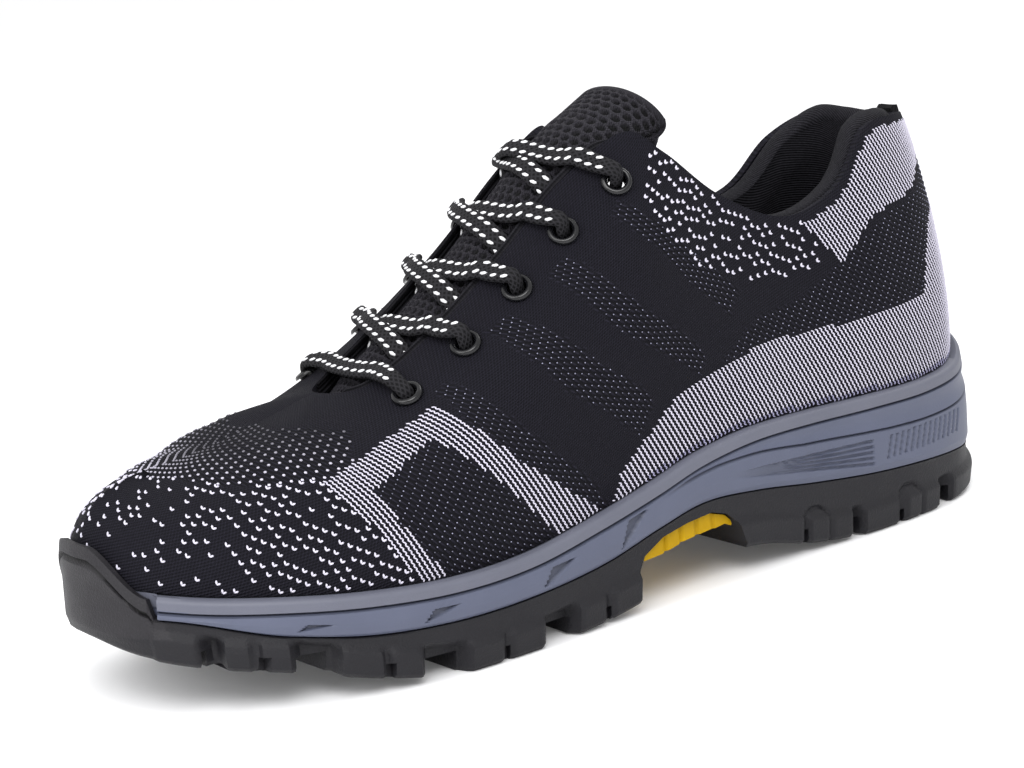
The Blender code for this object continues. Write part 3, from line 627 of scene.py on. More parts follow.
def cut_away(item, cutters):
    for cutter in cutters:
        modifier = item.modifiers.new("cut by " + cutter.name, "BOOLEAN")
        modifier.operation = "DIFFERENCE"
        modifier.solver = "EXACT"
        modifier.object = cutter
    mesh = applied(item)
    for cutter in cutters:
        bpy.data.objects.remove(cutter, do_unlink=True)
    return mesh


# Material helpers
def new_material(name, colour, roughness, specular=0.5):
    material = bpy.data.materials.new(name)
    material.use_nodes = True
    shader = material.node_tree.nodes["Principled BSDF"]
    shader.inputs["Base Color"].default_value = (*colour, 1)
    shader.inputs["Roughness"].default_value = roughness
    shader.inputs["Specular IOR Level"].default_value = specular
    return material, material.node_tree, shader


def add_node(tree, kind, inputs=(), **settings):
    """A shader node with its settings, and its inputs set or linked by name or number."""
    node = tree.nodes.new("ShaderNode" + kind)
    for key, value in settings.items():
        setattr(node, key, value)
    for key, value in dict(inputs).items():
        if isinstance(value, bpy.types.NodeSocket):
            tree.links.new(value, node.inputs[key])
        else:
            node.inputs[key].default_value = value
    return node


def calc(tree, operation, *values):
    return add_node(tree, "Math", dict(enumerate(values)), operation=operation).outputs[0]


def dot_flat(tree, place, weights):
    """u and v of a flat place, weighted and summed."""
    node = add_node(tree, "VectorMath", {0: place, 1: (*weights, 0)}, operation="DOT_PRODUCT")
    return node.outputs["Value"]


def flat_uv(tree):
    return add_node(tree, "UVMap", uv_map="flat").outputs["UV"]


def object_place(tree):
    return add_node(tree, "TexCoord").outputs["Object"]


def wave(tree, value):
    """0 to 1 and back once for each whole step of value."""
    turned = calc(tree, "MULTIPLY", value, 2 * np.pi)
    return calc(tree, "MULTIPLY_ADD", calc(tree, "SINE", turned), 0.5, 0.5)


def crossed(tree, across, along):
    """The waves of two sets of slanting threads, at those distances across and along a piece."""
    flat = flat_uv(tree)
    return [wave(tree, dot_flat(tree, flat, (way / across, 1 / along))) for way in (1, -1)]


def mix_colour(tree, factor, low, high):
    node = add_node(tree, "Mix", {0: factor}, data_type="RGBA")
    for socket, colour in ((node.inputs[6], low), (node.inputs[7], high)):
        if isinstance(colour, bpy.types.NodeSocket):
            tree.links.new(colour, socket)
        else:
            socket.default_value = (*colour, 1)
    return node.outputs[2]


def colour_by(tree, shader, factor, dark, light):
    """The base colour, from dark to light by the factor."""
    tree.links.new(mix_colour(tree, factor, dark, light), shader.inputs["Base Color"])


def attribute(tree, name):
    return add_node(tree, "Attribute", attribute_name=name).outputs["Fac"]


def add_bump(tree, shader, height, distance, strength=1.0):
    bump = add_node(tree, "Bump", {"Height": height, "Distance": distance, "Strength": strength})
    tree.links.new(bump.outputs["Normal"], shader.inputs["Normal"])


def noise(tree, place, scale, detail=3.0):
    return add_node(tree, "TexNoise", {"Vector": place, "Scale": scale, "Detail": detail}).outputs["Fac"]


# Materials
def knit_material():
    """Black knit: fine ribs along the shoe, and an open net where the "open" attribute is 1."""
    material, tree, shader = new_material("black knit", (0.014, 0.0135, 0.018),
                                          roughness=0.82, specular=0.12)
    flat = flat_uv(tree)
    inverse = np.linalg.inv(np.stack([WALE, COURSE]))
    wale = dot_flat(tree, flat, inverse[:, 0] / MM)
    course = dot_flat(tree, flat, inverse[:, 1] / MM)
    rib = wave(tree, dot_flat(tree, flat, (0.36 / MM, 1.26 / MM)))
    stitch = wave(tree, dot_flat(tree, flat, (1 / 0.85 / MM, 0.45 / MM)))
    plain = calc(tree, "MULTIPLY_ADD", stitch, 0.4, calc(tree, "MULTIPLY", rib, 0.55))
    net = calc(tree, "MULTIPLY", wave(tree, wale), wave(tree, calc(tree, "MULTIPLY", course, 0.5)))
    net = calc(tree, "MULTIPLY", net, 2.2)
    is_open = attribute(tree, "open")
    height = add_node(tree, "Mix", {0: is_open, 2: plain, 3: net}, data_type="FLOAT").outputs[0]
    # The colour follows the relief: painted shade in its hollows, between the stitches and in the net's
    # holes; the fuzz adds a random tone.
    tint = calc(tree, "MULTIPLY", height, 0.7)
    fuzz = noise(tree, object_place(tree), 900)
    tint = calc(tree, "MULTIPLY", tint, calc(tree, "ADD", fuzz, 0.5))
    colour_by(tree, shader, tint, (0.0022, 0.0020, 0.0036), (0.0130, 0.0122, 0.0200))
    add_bump(tree, shader, height, 0.00035, 0.9)
    return material


def yarn_material():
    """Yarn whose colour is carried by each stitch."""
    material, tree, shader = new_material("knitting yarn", (0.8, 0.78, 0.85), roughness=0.75, specular=0.2)
    tint = add_node(tree, "Attribute", attribute_name="tint").outputs["Color"]
    fibre = noise(tree, object_place(tree), 2600)
    shade = calc(tree, "MULTIPLY_ADD", fibre, 0.5, 0.72)
    dark = add_node(tree, "VectorMath", {0: tint, 3: shade}, operation="SCALE").outputs[0]
    tree.links.new(dark, shader.inputs["Base Color"])
    add_bump(tree, shader, fibre, 0.0001, 0.6)
    return material


def ribbed_material(name, colour, light, pitch, lean, depth):
    """Fabric with fine raised ribs across its UV map."""
    material, tree, shader = new_material(name, colour, roughness=0.85, specular=0.12)
    flat = flat_uv(tree)
    rib = wave(tree, dot_flat(tree, flat, (1 / pitch, lean / pitch)))
    cross = wave(tree, dot_flat(tree, flat, (0.3 / pitch, 1.6 / pitch)))
    height = calc(tree, "MULTIPLY_ADD", cross, 0.3, rib)
    fuzz = noise(tree, object_place(tree), 1100)
    # Painted shade in the troughs between the ribs, where the colour goes to its dark end; the fuzz adds a
    # random tone.
    colour_by(tree, shader, calc(tree, "MULTIPLY", height, fuzz), colour, light)
    add_bump(tree, shader, height, depth)
    return material


def spacer_material():
    """Spacer mesh, with painted shade between its threads and near black painted shade down in its holes."""
    material, tree, shader = new_material("spacer mesh", (0.03, 0.028, 0.034), roughness=0.75, specular=0.2)
    deep = attribute(tree, "mark")
    height = calc(tree, "ADD", *crossed(tree, 0.0008, 0.0013))
    half = calc(tree, "MULTIPLY", height, 0.5)
    lit = mix_colour(tree, half, (0.007, 0.0064, 0.0092), (0.028, 0.026, 0.034))
    # deep carries the painted shade down in the holes, which are sunk into the mesh.
    colour_by(tree, shader, deep, lit, (0.002, 0.002, 0.0025))
    add_bump(tree, shader, height, 0.00015)
    return material


def lace_material():
    material, tree, shader = new_material("braided cord", (0.02, 0.02, 0.022), roughness=0.75, specular=0.12)
    height = calc(tree, "MAXIMUM", *crossed(tree, 0.0017, 0.0019))
    # Painted shade between the strands of the braid, where the relief is low.
    colour_by(tree, shader, height, (0.0015, 0.0015, 0.0018), (0.017, 0.0165, 0.019))
    add_bump(tree, shader, height, 0.0003)
    return material


def foam_material():
    """Moulded foam, lighter on its top band, with a fine skin, a little dust, and painted shade in its
    grooves and hollows.
    """
    material, tree, shader = new_material("moulded foam", (0.155, 0.17, 0.225), roughness=0.5, specular=0.35)
    place = object_place(tree)
    band = attribute(tree, "band")
    patch = noise(tree, place, 60)
    side = mix_colour(tree, patch, (0.060, 0.068, 0.105), (0.086, 0.096, 0.143))
    top = mix_colour(tree, patch, (0.082, 0.086, 0.114), (0.112, 0.116, 0.148))
    # Painted shade in the grooves, flutes, hatch and hollows, read from the marks on the midsole.
    deep = attribute(tree, "mark")
    unshaded = mix_colour(tree, band, side, top)
    colour_by(tree, shader, deep, unshaded, (0.030, 0.033, 0.048))
    skin = noise(tree, place, 1500, 2.0)
    add_bump(tree, shader, skin, 0.00006, 0.7)
    rough = calc(tree, "MULTIPLY_ADD", patch, 0.25, 0.38)
    tree.links.new(rough, shader.inputs["Roughness"])
    return material


def rubber_material():
    material, tree, shader = new_material("tread rubber", (0.024, 0.023, 0.027),
                                          roughness=0.55, specular=0.3)
    place = object_place(tree)
    patch = noise(tree, place, 90)
    grain = noise(tree, place, 1900, 4.0)
    colour = mix_colour(tree, patch, (0.003, 0.0027, 0.0045), (0.009, 0.0085, 0.0115))
    bumper = attribute(tree, "band")
    lit = mix_colour(tree, grain, (0.005, 0.0045, 0.006), (0.020, 0.0185, 0.0225))
    # Painted shade in the bumper's groove.
    groove = attribute(tree, "mark")
    unshaded = mix_colour(tree, bumper, colour, lit)
    colour_by(tree, shader, groove, unshaded, (0.001, 0.001, 0.0012))
    add_bump(tree, shader, grain, 0.0003, 0.8)
    tree.links.new(calc(tree, "MULTIPLY_ADD", patch, 0.3, 0.42), shader.inputs["Roughness"])
    return material


def plain_finish(name, colour, roughness, specular, dark, light, patch, skin, depth, strength):
    """A finish that changes from dark to light in patches, under a fine bumpy skin."""
    material, tree, shader = new_material(name, colour, roughness, specular)
    place = object_place(tree)
    colour_by(tree, shader, noise(tree, place, patch), dark, light)
    add_bump(tree, shader, noise(tree, place, skin), depth, strength)
    return material


def insert_material():
    return plain_finish("yellow plastic", (0.62, 0.36, 0.004), roughness=0.5, specular=0.12,
                        dark=(0.31, 0.180, 0.0005), light=(0.44, 0.265, 0.001),
                        patch=200, skin=1500, depth=0.00005, strength=0.5)


def eyelet_material():
    black = (0.004, 0.004, 0.005)
    return plain_finish("black enamel", black, roughness=0.22, specular=0.4, dark=black, light=black,
                        patch=700, skin=700, depth=0.00003, strength=0.4)


def insole_material():
    return plain_finish("insole felt", (0.02, 0.02, 0.023), roughness=0.9, specular=0.1,
                        dark=(0.004, 0.004, 0.005), light=(0.016, 0.0155, 0.018),
                        patch=1200, skin=1200, depth=0.0002, strength=0.7)


# Upper: its grid, how much closer the grid lies to the top edge, and the room around an eyelet's barrel
UPPER_ROWS = 193
UPPER_RISES = 61
RISE_CROWD = 0.30
BARREL_ROOM = 0.0011


def open_knit(flat):
    """1 where the knit is an open net and 0 where it is plain."""
    zones = [CHEVRON_MESH, VAMP_MESH, HEEL_MESH, *QUARTER_BANDS]
    return np.any([inside(zone, flat) for zone in zones], axis=0)


def eyelet_places():
    places = []
    for side, word in SIDES:
        for number, row in enumerate(EYELET_STATIONS, start=1):
            rise = rise_below_top(row, side, EYELET_INSET)
            point = upper_point(row, rise, side)
            normal = upper_normal(row, rise, side)
            places.append((f"eyelet_{word}_{number}", Vector(point), Vector(normal)))
    return places


def turned_to(point, normal):
    return Matrix.Translation(point) @ normal.to_track_quat("Z", "Y").to_matrix().to_4x4()


def make_upper(material):
    rows = np.linspace(0, TOE, UPPER_ROWS)
    even = np.linspace(0, 1, UPPER_RISES)
    rise = even + RISE_CROWD * even * (1 - even)
    sides = []
    for side, order in ((1, rows), (-1, rows[::-1])):
        grid_rows, grid_rise = np.meshgrid(order, rise, indexing="ij")
        points = knit_face(grid_rows, grid_rise, side, 0)
        sides.append((points, flat_at(grid_rows, grid_rise, side) * MM))
    points = np.concatenate([sides[0][0], sides[1][0]])
    flat = np.concatenate([sides[0][1], sides[1][1]])
    bm = woven(points, flat)
    bmesh.ops.recalc_face_normals(bm, faces=bm.faces)
    side_face = max(bm.faces, key=lambda face: face.calc_center_median().y)
    if side_face.normal.y < 0:
        bmesh.ops.reverse_faces(bm, faces=bm.faces)
    layer = bm.loops.layers.uv.active
    net = bm.verts.layers.float.new("open")
    for vert in bm.verts:
        vert[net] = float(open_knit(np.array(vert.link_loops[0][layer].uv) / MM))
    upper = helper_object("upper shell", bm)
    wall = upper.modifiers.new("wall", "SOLIDIFY")
    wall.thickness = UPPER_WALL
    wall.offset = -1
    wall.use_even_offset = True
    holes = bmesh.new()
    radius = EYELET_HOLE / 2 + BARREL_ROOM
    for _, point, normal in eyelet_places():
        bmesh.ops.create_cone(holes, cap_ends=True, segments=32, radius1=radius, radius2=radius,
                              depth=6 * UPPER_WALL, matrix=turned_to(point, normal))
    mesh = cut_away(upper, [helper_object("eyelet holes", holes)])
    finish_mesh("knit_upper", mesh, material, ["upper"], SOFT_ANGLE)


# Yarn: each stitch is a small grain, set on the knit by Geometry Nodes
def grain_nodes():
    tree = bpy.data.node_groups.new("set grains", "GeometryNodeTree")
    tree.interface.new_socket("Geometry", in_out="INPUT", socket_type="NodeSocketGeometry")
    tree.interface.new_socket("Geometry", in_out="OUTPUT", socket_type="NodeSocketGeometry")
    start = tree.nodes.new("NodeGroupInput")
    end = tree.nodes.new("NodeGroupOutput")
    ball = tree.nodes.new("GeometryNodeMeshIcoSphere")
    ball.inputs["Radius"].default_value = 1.0
    ball.inputs["Subdivisions"].default_value = 1
    setter = tree.nodes.new("GeometryNodeInstanceOnPoints")
    real = tree.nodes.new("GeometryNodeRealizeInstances")
    tree.links.new(start.outputs[0], setter.inputs["Points"])
    tree.links.new(ball.outputs["Mesh"], setter.inputs["Instance"])
    for name, kind, socket in (("turn", "QUATERNION", "Rotation"), ("size", "FLOAT_VECTOR", "Scale")):
        reader = tree.nodes.new("GeometryNodeInputNamedAttribute")
        reader.data_type = kind
        reader.inputs["Name"].default_value = name
        tree.links.new(reader.outputs["Attribute"], setter.inputs[socket])
    tree.links.new(setter.outputs["Instances"], real.inputs["Geometry"])
    tree.links.new(real.outputs["Geometry"], end.inputs[0])
    return tree


def set_grains(name, grains, material):
    """Ellipsoids at points, along directions and square to normals, each with its size and tint."""
    points, ahead, normals, sizes, tints = [np.concatenate(column) for column in zip(*grains)]
    ahead = unit(ahead)
    beside = unit(np.cross(normals, ahead))
    upward = np.cross(ahead, beside)
    turns = [Matrix(np.stack(axes, axis=1).tolist()).to_quaternion() for axes in zip(ahead, beside, upward)]
    mesh = bpy.data.meshes.new(name + " points")
    mesh.vertices.add(len(points))
    mesh.vertices.foreach_set("co", points.ravel())
    mesh.attributes.new("turn", "QUATERNION", "POINT").data.foreach_set("value", np.array(turns).ravel())
    mesh.attributes.new("size", "FLOAT_VECTOR", "POINT").data.foreach_set("vector", sizes.ravel())
    colours = np.concatenate([tints, np.ones((len(tints), 1))], axis=1)
    mesh.attributes.new("tint", "FLOAT_COLOR", "POINT").data.foreach_set("color", colours.ravel())
    holder = placed(name + " points", mesh)
    holder.modifiers.new("grains", "NODES").node_group = GRAINS
    finish_mesh(name, applied(holder), material, angle=None)


WHITE = np.array([0.58, 0.56, 0.655])
DIM = np.array([0.20, 0.20, 0.27])
BLUE = np.array([0.10, 0.10, 0.30])

# The bluish lowest stitches of the rear zone, in flat millimetres
BLUE_BELOW = 2.2
BLUE_BEHIND = 160

# Width and thickness of a stitch, and how far it goes on past each end of its stroke, in millimetres
Yarn = namedtuple("Yarn", "width height spare")
LEVEL_YARN = Yarn(0.44, 0.50, 0.16)
STEEP_YARN = Yarn(0.50, 0.50, 0.16)
FLECK_YARN = Yarn(0.66, 0.60, 0.15)
VAMP_YARN = Yarn(0.85, 0.60, 0.22)
QUARTER_YARN = Yarn(0.40, 0.32, 0.10)
STROKE_LENGTHS = (0.1 * MM, 4 * MM)
SEAM_MARGIN = 0.5
RIDGE_MARGIN = 0.995

# The two flat runs between which a V stitch's arms are turned, and half the V's angle in degrees
FLECK_LEVEL = np.array([-1.13, -0.55])
FLECK_STEEP = np.array([0.33, -0.97])
FLECK_OPENING = 30


def laid(places, runs, side, yarn, tint):
    """Grains on the knit at flat places, each along its own flat run, in millimetres."""
    runs = np.broadcast_to(runs, places.shape)
    tint = np.broadcast_to(tint, (len(places), 3))
    row_a, rise_a, found_a = from_flat(places - runs / 2, side)
    row_b, rise_b, found_b = from_flat(places + runs / 2, side)
    row, rise, found = from_flat(places, side)
    keep = found & found_a & found_b
    start = knit_face(row_a, rise_a, side, 0)
    end = knit_face(row_b, rise_b, side, 0)
    length = np.linalg.norm(end - start, axis=1)
    keep &= (length > STROKE_LENGTHS[0]) & (length < STROKE_LENGTHS[1])
    normal = upper_normal(row, rise, side)
    points = (start + end) / 2 + normal * YARN_LIFT * MM
    halves = np.broadcast_to(np.array([yarn.width, yarn.height]) * MM / 2, (len(length), 2))
    sizes = np.column_stack([length / 2 + yarn.spare * MM, halves])
    return points[keep], (end - start)[keep], normal[keep], sizes[keep], tint[keep]


def lattice(outlines, side, every=1, apart=1):
    """Stitch places within any of the outlines: every so many courses, that many wales apart."""
    corners = np.concatenate([np.array(outline, float) for outline in outlines])
    low, high = corners.min(axis=0), corners.max(axis=0)
    inverse = np.linalg.inv(np.stack([WALE, COURSE]))
    ends = np.array([[u, v] for u in (low[0], high[0]) for v in (low[1], high[1])]) @ inverse
    wales = np.arange(np.floor(ends[:, 0].min()), np.ceil(ends[:, 0].max()) + 1)
    courses = np.arange(np.floor(ends[:, 1].min()), np.ceil(ends[:, 1].max()) + 1)
    courses = courses[courses % every == 0]
    wales = wales[wales % apart == 0]
    i, j = np.meshgrid(wales, courses, indexing="ij")
    places = i[..., None] * WALE + j[..., None] * COURSE
    places = places.reshape(-1, 2)
    within = np.any([inside(outline, places) for outline in outlines], axis=0)
    places = places[within & (places[:, 1] > SEAM_MARGIN)]
    row, rise, found = from_flat(places, side)
    shown = found & (rise < rise_below_top(row, side, EDGE_BAND * MM))
    shown |= found & (row > THROAT_FRONT) & (rise < RIDGE_MARGIN)
    return places[shown]


def zigzag(side):
    """Lines of white stitches, each a level stroke and then a steep one."""
    places = lattice([CHEVRON, REAR, HEEL_BAND], side)
    steep = COURSE - LEVEL_STROKE
    low = (places[:, 1] < BLUE_BELOW) & (places[:, 0] < BLUE_BEHIND)
    tint = np.where(low[:, None], (WHITE + BLUE) / 2.2, WHITE)
    return [
        laid(places + LEVEL_STROKE / 2, LEVEL_STROKE, side, LEVEL_YARN, tint),
        laid(places + LEVEL_STROKE + steep / 2, steep, side, STEEP_YARN, tint),
    ]


def scattered(places, chance, seed):
    """A random share of the places, none of them closer than FLECK_SPACE to another."""
    random = np.random.default_rng(seed)
    kept = []
    for index in random.permutation(len(places)):
        away = np.linalg.norm(places[kept] - places[index], axis=1)
        if random.random() < chance[index] and (away > FLECK_SPACE).all():
            kept.append(index)
    return places[kept]


def flecks(side, outline, chance, seed, tilt):
    """Scattered V stitches of white yarn."""
    places = lattice([outline], side, every=2)
    places = scattered(places, chance(places), seed)
    grains = []
    for way in (-1, 1):
        angle = np.radians(way * FLECK_OPENING + tilt)
        run = np.sin(angle) * FLECK_LEVEL - np.cos(angle) * FLECK_STEEP
        grains.append(laid(places + run / 2, run, side, FLECK_YARN, WHITE))
    return grains


def toe_chance(places):
    """The share of V stitches kept: few at the tip, most of them further back."""
    back = np.clip((300 - places[:, 0]) / 50, 0, 1)
    return 0.18 + 0.62 * back


def collar_chance(places):
    """The share of V stitches kept: more of them towards the throat."""
    return 0.55 + 0.35 * np.clip((places[:, 0] - 110) / 30, 0, 1)


def dots(side):
    """Single stitches that show through the nets: bright on the vamp, dim on the quarter."""
    places = lattice([VAMP_MESH], side, every=2, apart=2)
    bright = np.clip(1.0 - (places[:, 1] - 30) / 24, 0.16, 1)[:, None]
    run = LEVEL_STROKE * 0.6
    grains = [laid(places, run, side, VAMP_YARN, WHITE * bright)]
    places = lattice([CHEVRON_MESH, HEEL_MESH, *QUARTER_BANDS], side, every=2)
    speck = 0.5 + np.random.default_rng(5).random((len(places), 1))
    grains.append(laid(places, run * 0.5, side, QUARTER_YARN, DIM * speck))
    return grains


def make_yarn(material):
    for side, word in SIDES:
        grains = zigzag(side) + dots(side)
        grains += flecks(side, TOE_FLECKS, toe_chance, 11, 12)
        grains += flecks(side, COLLAR_FLECKS, collar_chance, 12, 45)
        set_grains("yarn_" + word, grains, material)


# Collar padding, facings, tongue and heel tape: the roll's swelling by depth, and its taper in stations
COLLAR_RINGS = 150
COLLAR_POINTS = 12
COLLAR_SWELL = ([0, 0.30, 0.66, 1.0], [0.95, 1.0, 0.72, 0.35])
COLLAR_TAPER = 0.9
COLLAR_CALM = (2.2, 3.6)


def make_collar_padding(material):
    half = COLLAR_RINGS
    turns = np.concatenate([np.linspace(COLLAR_END, 0, half), np.linspace(0, COLLAR_END, half)[1:]])
    sides = [1] * half + [-1] * (half - 1)
    down = np.linspace(0, 1, COLLAR_POINTS)
    depths = down * COLLAR_DEPTH
    swell = np.interp(down, *COLLAR_SWELL) * COLLAR_PAD
    turn = np.linspace(0, np.pi, COLLAR_POINTS)[1:-1]
    bend = [(0.5 - 0.48 * np.cos(angle), np.sin(angle)) for angle in turn]
    rings = []
    for row, side in zip(turns, sides):
        taper = np.clip((COLLAR_END - row) / COLLAR_TAPER, 0.25, 1)
        rise = rise_below_top(row, side, depths)
        here = np.full(COLLAR_POINTS, row)
        face = upper_point(here, rise, side)
        inward = -upper_normal(here, rise, side)
        outer = face + inward * (UPPER_WALL + 3 * GAP)
        inner = outer + inward * (swell * taper)[:, None]
        upward = -rib_drop(row, side) * COLLAR_LIFT * taper * (1 - 0.65 * ease(row, *COLLAR_CALM))
        crest = [outer[0] + inward[0] * COLLAR_PAD * share * taper + upward * lift for share, lift in bend]
        rings.append(np.concatenate([outer[::-1], crest, inner]))
    bm = ring_bmesh(np.array(rings))
    roll = finish_piece("collar_roll", bm, material, ["collar_padding"], SOFT_ANGLE)


FACING_ENDS = (THROAT_TOP - 0.05, THROAT_FRONT - 0.65)


def make_facings(material):
    rows = np.linspace(*FACING_ENDS, 90)[:, None]
    shown = 1 - FACING_SHOW / (THROAT_WIDTH / 2)
    hidden = across_at(EYELET_INSET - EYELET_OUTER * 0.55)
    edge = np.linspace(shown, hidden, 14)[None, :]
    top = UPPER_WALL + 2 * GAP
    curl = FACING_CURL * (1 - ease(edge, shown, 1.0)) * ease(rows, THROAT_TOP, THROAT_TOP + 0.5)
    for side, word in SIDES:
        outer = lifted(rows, side * edge, curl - top)
        inner = lifted(rows, side * edge, curl - top - FACING_WALL)
        name = f"throat_facing_{word}"
        finish_piece(name + "_tape", slab_bmesh(outer, inner), material, [name])


# The stations over which the tongue drops to where it is sewn in, and from which its crown rises
TONGUE_SEWN = (11.9, 12.6)
TONGUE_CROWN_START = 12


def tongue_depth(row, across):
    """How far the tongue's face lies under the instep surface."""
    sewn = UPPER_WALL + FACING_WALL + 4 * GAP
    front = np.clip((row - TONGUE_SEWN[0]) / (TONGUE_SEWN[1] - TONGUE_SEWN[0]), 0, 1)
    crown = TONGUE_CROWN + TONGUE_RISE * np.clip(TONGUE_CROWN_START - row, 0, 4)
    hang = TONGUE_DROP - crown * np.clip(1 - across ** 2, 0, 1)
    return hang * (1 - front) + sewn * front


# The tongue's holes: their steps across and along, depth, shape, and where the edge of one begins and ends
HOLE_PITCH = (0.0032, 0.0026)
HOLE_DEPTH = 0.0013
HOLE_SHAPE = (2.1, 2.3)
HOLE_EDGE = (0.62, 0.98)
HOLE_BORDER = 0.10
TONGUE_NARROWING = 0.40
TONGUE_EDGE_THINNING = 0.55
TONGUE_ROWS = 290
TONGUE_COLUMNS = 150


def make_tongue(material):
    rows = np.linspace(THROAT_TOP - TONGUE_TIP, THROAT_FRONT - 0.3, TONGUE_ROWS)[:, None]
    wide = np.linspace(-TONGUE_HALF, TONGUE_HALF, TONGUE_COLUMNS)[None, :]
    beyond = np.clip((THROAT_TOP - rows) / TONGUE_TIP, 0, 1)
    across = wide * (1 - TONGUE_NARROWING * beyond ** 3)
    depth = tongue_depth(rows, across)
    edge = 1 - TONGUE_EDGE_THINNING * np.abs(wide / TONGUE_HALF) ** 6
    face = lifted(rows, across, -depth)
    lengths = grid_lengths(face)
    column, line = lengths[..., 0] / HOLE_PITCH[0], lengths[..., 1] / HOLE_PITCH[1]
    shifted = column + 0.5 * (np.round(line) % 2)
    away = np.hypot((shifted - np.round(shifted)) * HOLE_SHAPE[0], (line - np.round(line)) * HOLE_SHAPE[1])
    border = np.clip((TONGUE_HALF - np.abs(wide)) / HOLE_BORDER, 0, 1)
    border = border * np.clip((rows - THROAT_TOP + 0.80) / HOLE_BORDER, 0, 1)
    deep = (1 - ease(away, *HOLE_EDGE)) * border
    outer = lifted(rows, across, -depth - HOLE_DEPTH * deep)
    inner = lifted(rows, across, -depth - TONGUE_WALL * edge)
    # deep is also kept on the mesh as painted shade down in the holes.
    bm = slab_bmesh(outer, inner, deep)
    tongue = finish_piece("tongue_mesh", bm, material, ["tongue"], SOFT_ANGLE)


# How far the tape goes over the collar's edge, and the share of its wall that it loses on its way down
TAPE_OVER = 0.0012
TAPE_THINNING = 0.75


def make_heel_tape(material):
    """The tape over the heel seam, from just over the collar's edge down."""
    share = TAPE_WIDTH / (COLLAR_WIDTH * 0.64)
    turns = np.linspace(share, -share, 21)
    drops = np.linspace(-TAPE_OVER, TAPE_LENGTH, 50)
    outer, inner = [], []
    for drop in drops:
        wall = TAPE_WALL * (1 - TAPE_THINNING * max(drop, 0) / TAPE_LENGTH)
        low_row, high_row = [], []
        for turn in turns:
            side = 1 if turn >= 0 else -1
            rise = rise_below_top(abs(turn), side, max(drop, 0))
            face = upper_point(abs(turn), rise, side)
            normal = upper_normal(abs(turn), rise, side)
            face = face - rib_drop(abs(turn), side) * max(-drop, 0)
            low_row.append(face + normal * GAP)
            high_row.append(face + normal * (GAP + wall))
        inner.append(low_row)
        outer.append(high_row)
    bm = slab_bmesh(np.array(outer), np.array(inner))
    finish_piece("pull_tape", bm, material, ["heel_tape"])


# Sole
def sole_heights(row):
    """Seam and tread heights above the floor."""
    lines = spline(SOLE_LINES, row)
    seam = lines[..., 0] * FOOT_LINE_HEIGHT + TOE_SWEEP * ease(row, 13.0, MIDSOLE_END[0])
    return seam, np.maximum(lines[..., 1] * TOE_SPRING, 0)


def bumper_top(row):
    """Height of the toe bumper's upper edge, which climbs from the sole to over the foot line."""
    share = ease(row, BUMPER_START[0], BUMPER_FULL)
    return FOOT_LINE_HEIGHT * (BUMPER_LOW + (BUMPER_HIGH - BUMPER_LOW) * share)


def side_point(row, side, out, height):
    """A point beside the foot line, that far out and at that height."""
    point = foot_point(row, side) + foot_normal(row, side) * out
    point[2] = height
    return point


def sole_ring(row, side_profile, dip, shares=(0.25, 0.50, 0.75)):
    """One section of a sole piece: up the outer side, across, and down the inner side."""
    outer = [side_point(row, 1, out, height) for out, height in side_profile]
    inner = [side_point(row, -1, out, height) for out, height in side_profile]
    down = np.array([0, 0, dip])
    over = [outer[-1] * (1 - share) + inner[-1] * share - down for share in shares]
    under = [inner[0] * (1 - share) + outer[0] * share for share in shares]
    return outer + over + inner[::-1] + under


# Lines and hollows on the midsole's sides, in millimetres of the part's x and z
SECOND_GROOVE = [(-127, 7.6), (-93, 6.8), (-60, 5.0), (-44, 3.3), (-27, 1.8), (-6, 0.9), (150, 0.9)]
FLUTE_START = (-25.0, 30.2)
FLUTE_END = -86.0
FLUTES = (20.4, 22.1, 23.8, 25.5, 27.2)
HATCH = np.arange(-92.0, -126.0, -2.45)
HATCH_HEIGHTS = (20.6, 27.2)
HATCH_LEAN = 0.28
LINE_DEPTH = 0.6
FLUTE_HALF = 0.55
HATCH_HALF = 0.62
HOLLOW_DEPTH = 1.0
Hollow = namedtuple("Hollow", "x width height")
HOLLOWS = [Hollow(101, 9.5, 2.4), Hollow(69, 11, 3.6), Hollow(32, 12, 5.0), Hollow(5, 11, 6.6)]


def line_depth(away, half):
    """1 on a line that is twice half wide, and 0 past its edges."""
    return 1 - ease(np.abs(away), half * 0.35, half)


def side_relief(x, height, seam):
    """Depth in millimetres of the flutes, the hatch and the hollows at one place on the side."""
    depth = 0.0
    if FLUTE_END < x < FLUTE_START[0]:
        share = (FLUTE_START[0] - x) / (FLUTE_START[0] - FLUTE_END)
        fade = ease(share, 0.06, 0.40)
        for end in FLUTES:
            centre = FLUTE_START[1] + (end - FLUTE_START[1]) * share
            depth = max(depth, LINE_DEPTH * fade * line_depth(height - centre, FLUTE_HALF))
    if HATCH_HEIGHTS[0] < height < HATCH_HEIGHTS[1]:
        lean = (height - HATCH_HEIGHTS[0]) * HATCH_LEAN
        depth = max(depth, LINE_DEPTH * line_depth(np.abs(HATCH - lean - x).min(), HATCH_HALF))
    for hollow in HOLLOWS:
        share = (hollow.x + hollow.width / 2 - x) / hollow.width
        level = (height - seam - 1.0) / hollow.height
        room = min(1 - level, level - share, share / 0.3 - level) * hollow.height
        depth = max(depth, HOLLOW_DEPTH * ease(room, 0.0, 0.4))
    return depth


# The midsole's two grooves, its rounded rim, and the hollow panel between the grooves
GROOVE_EDGE = 0.0005
RIM_ROUND = 0.0012
SECOND_DEPTH = 0.0009
PANEL_DEPTH = 0.0007
FINE_END = 6.6


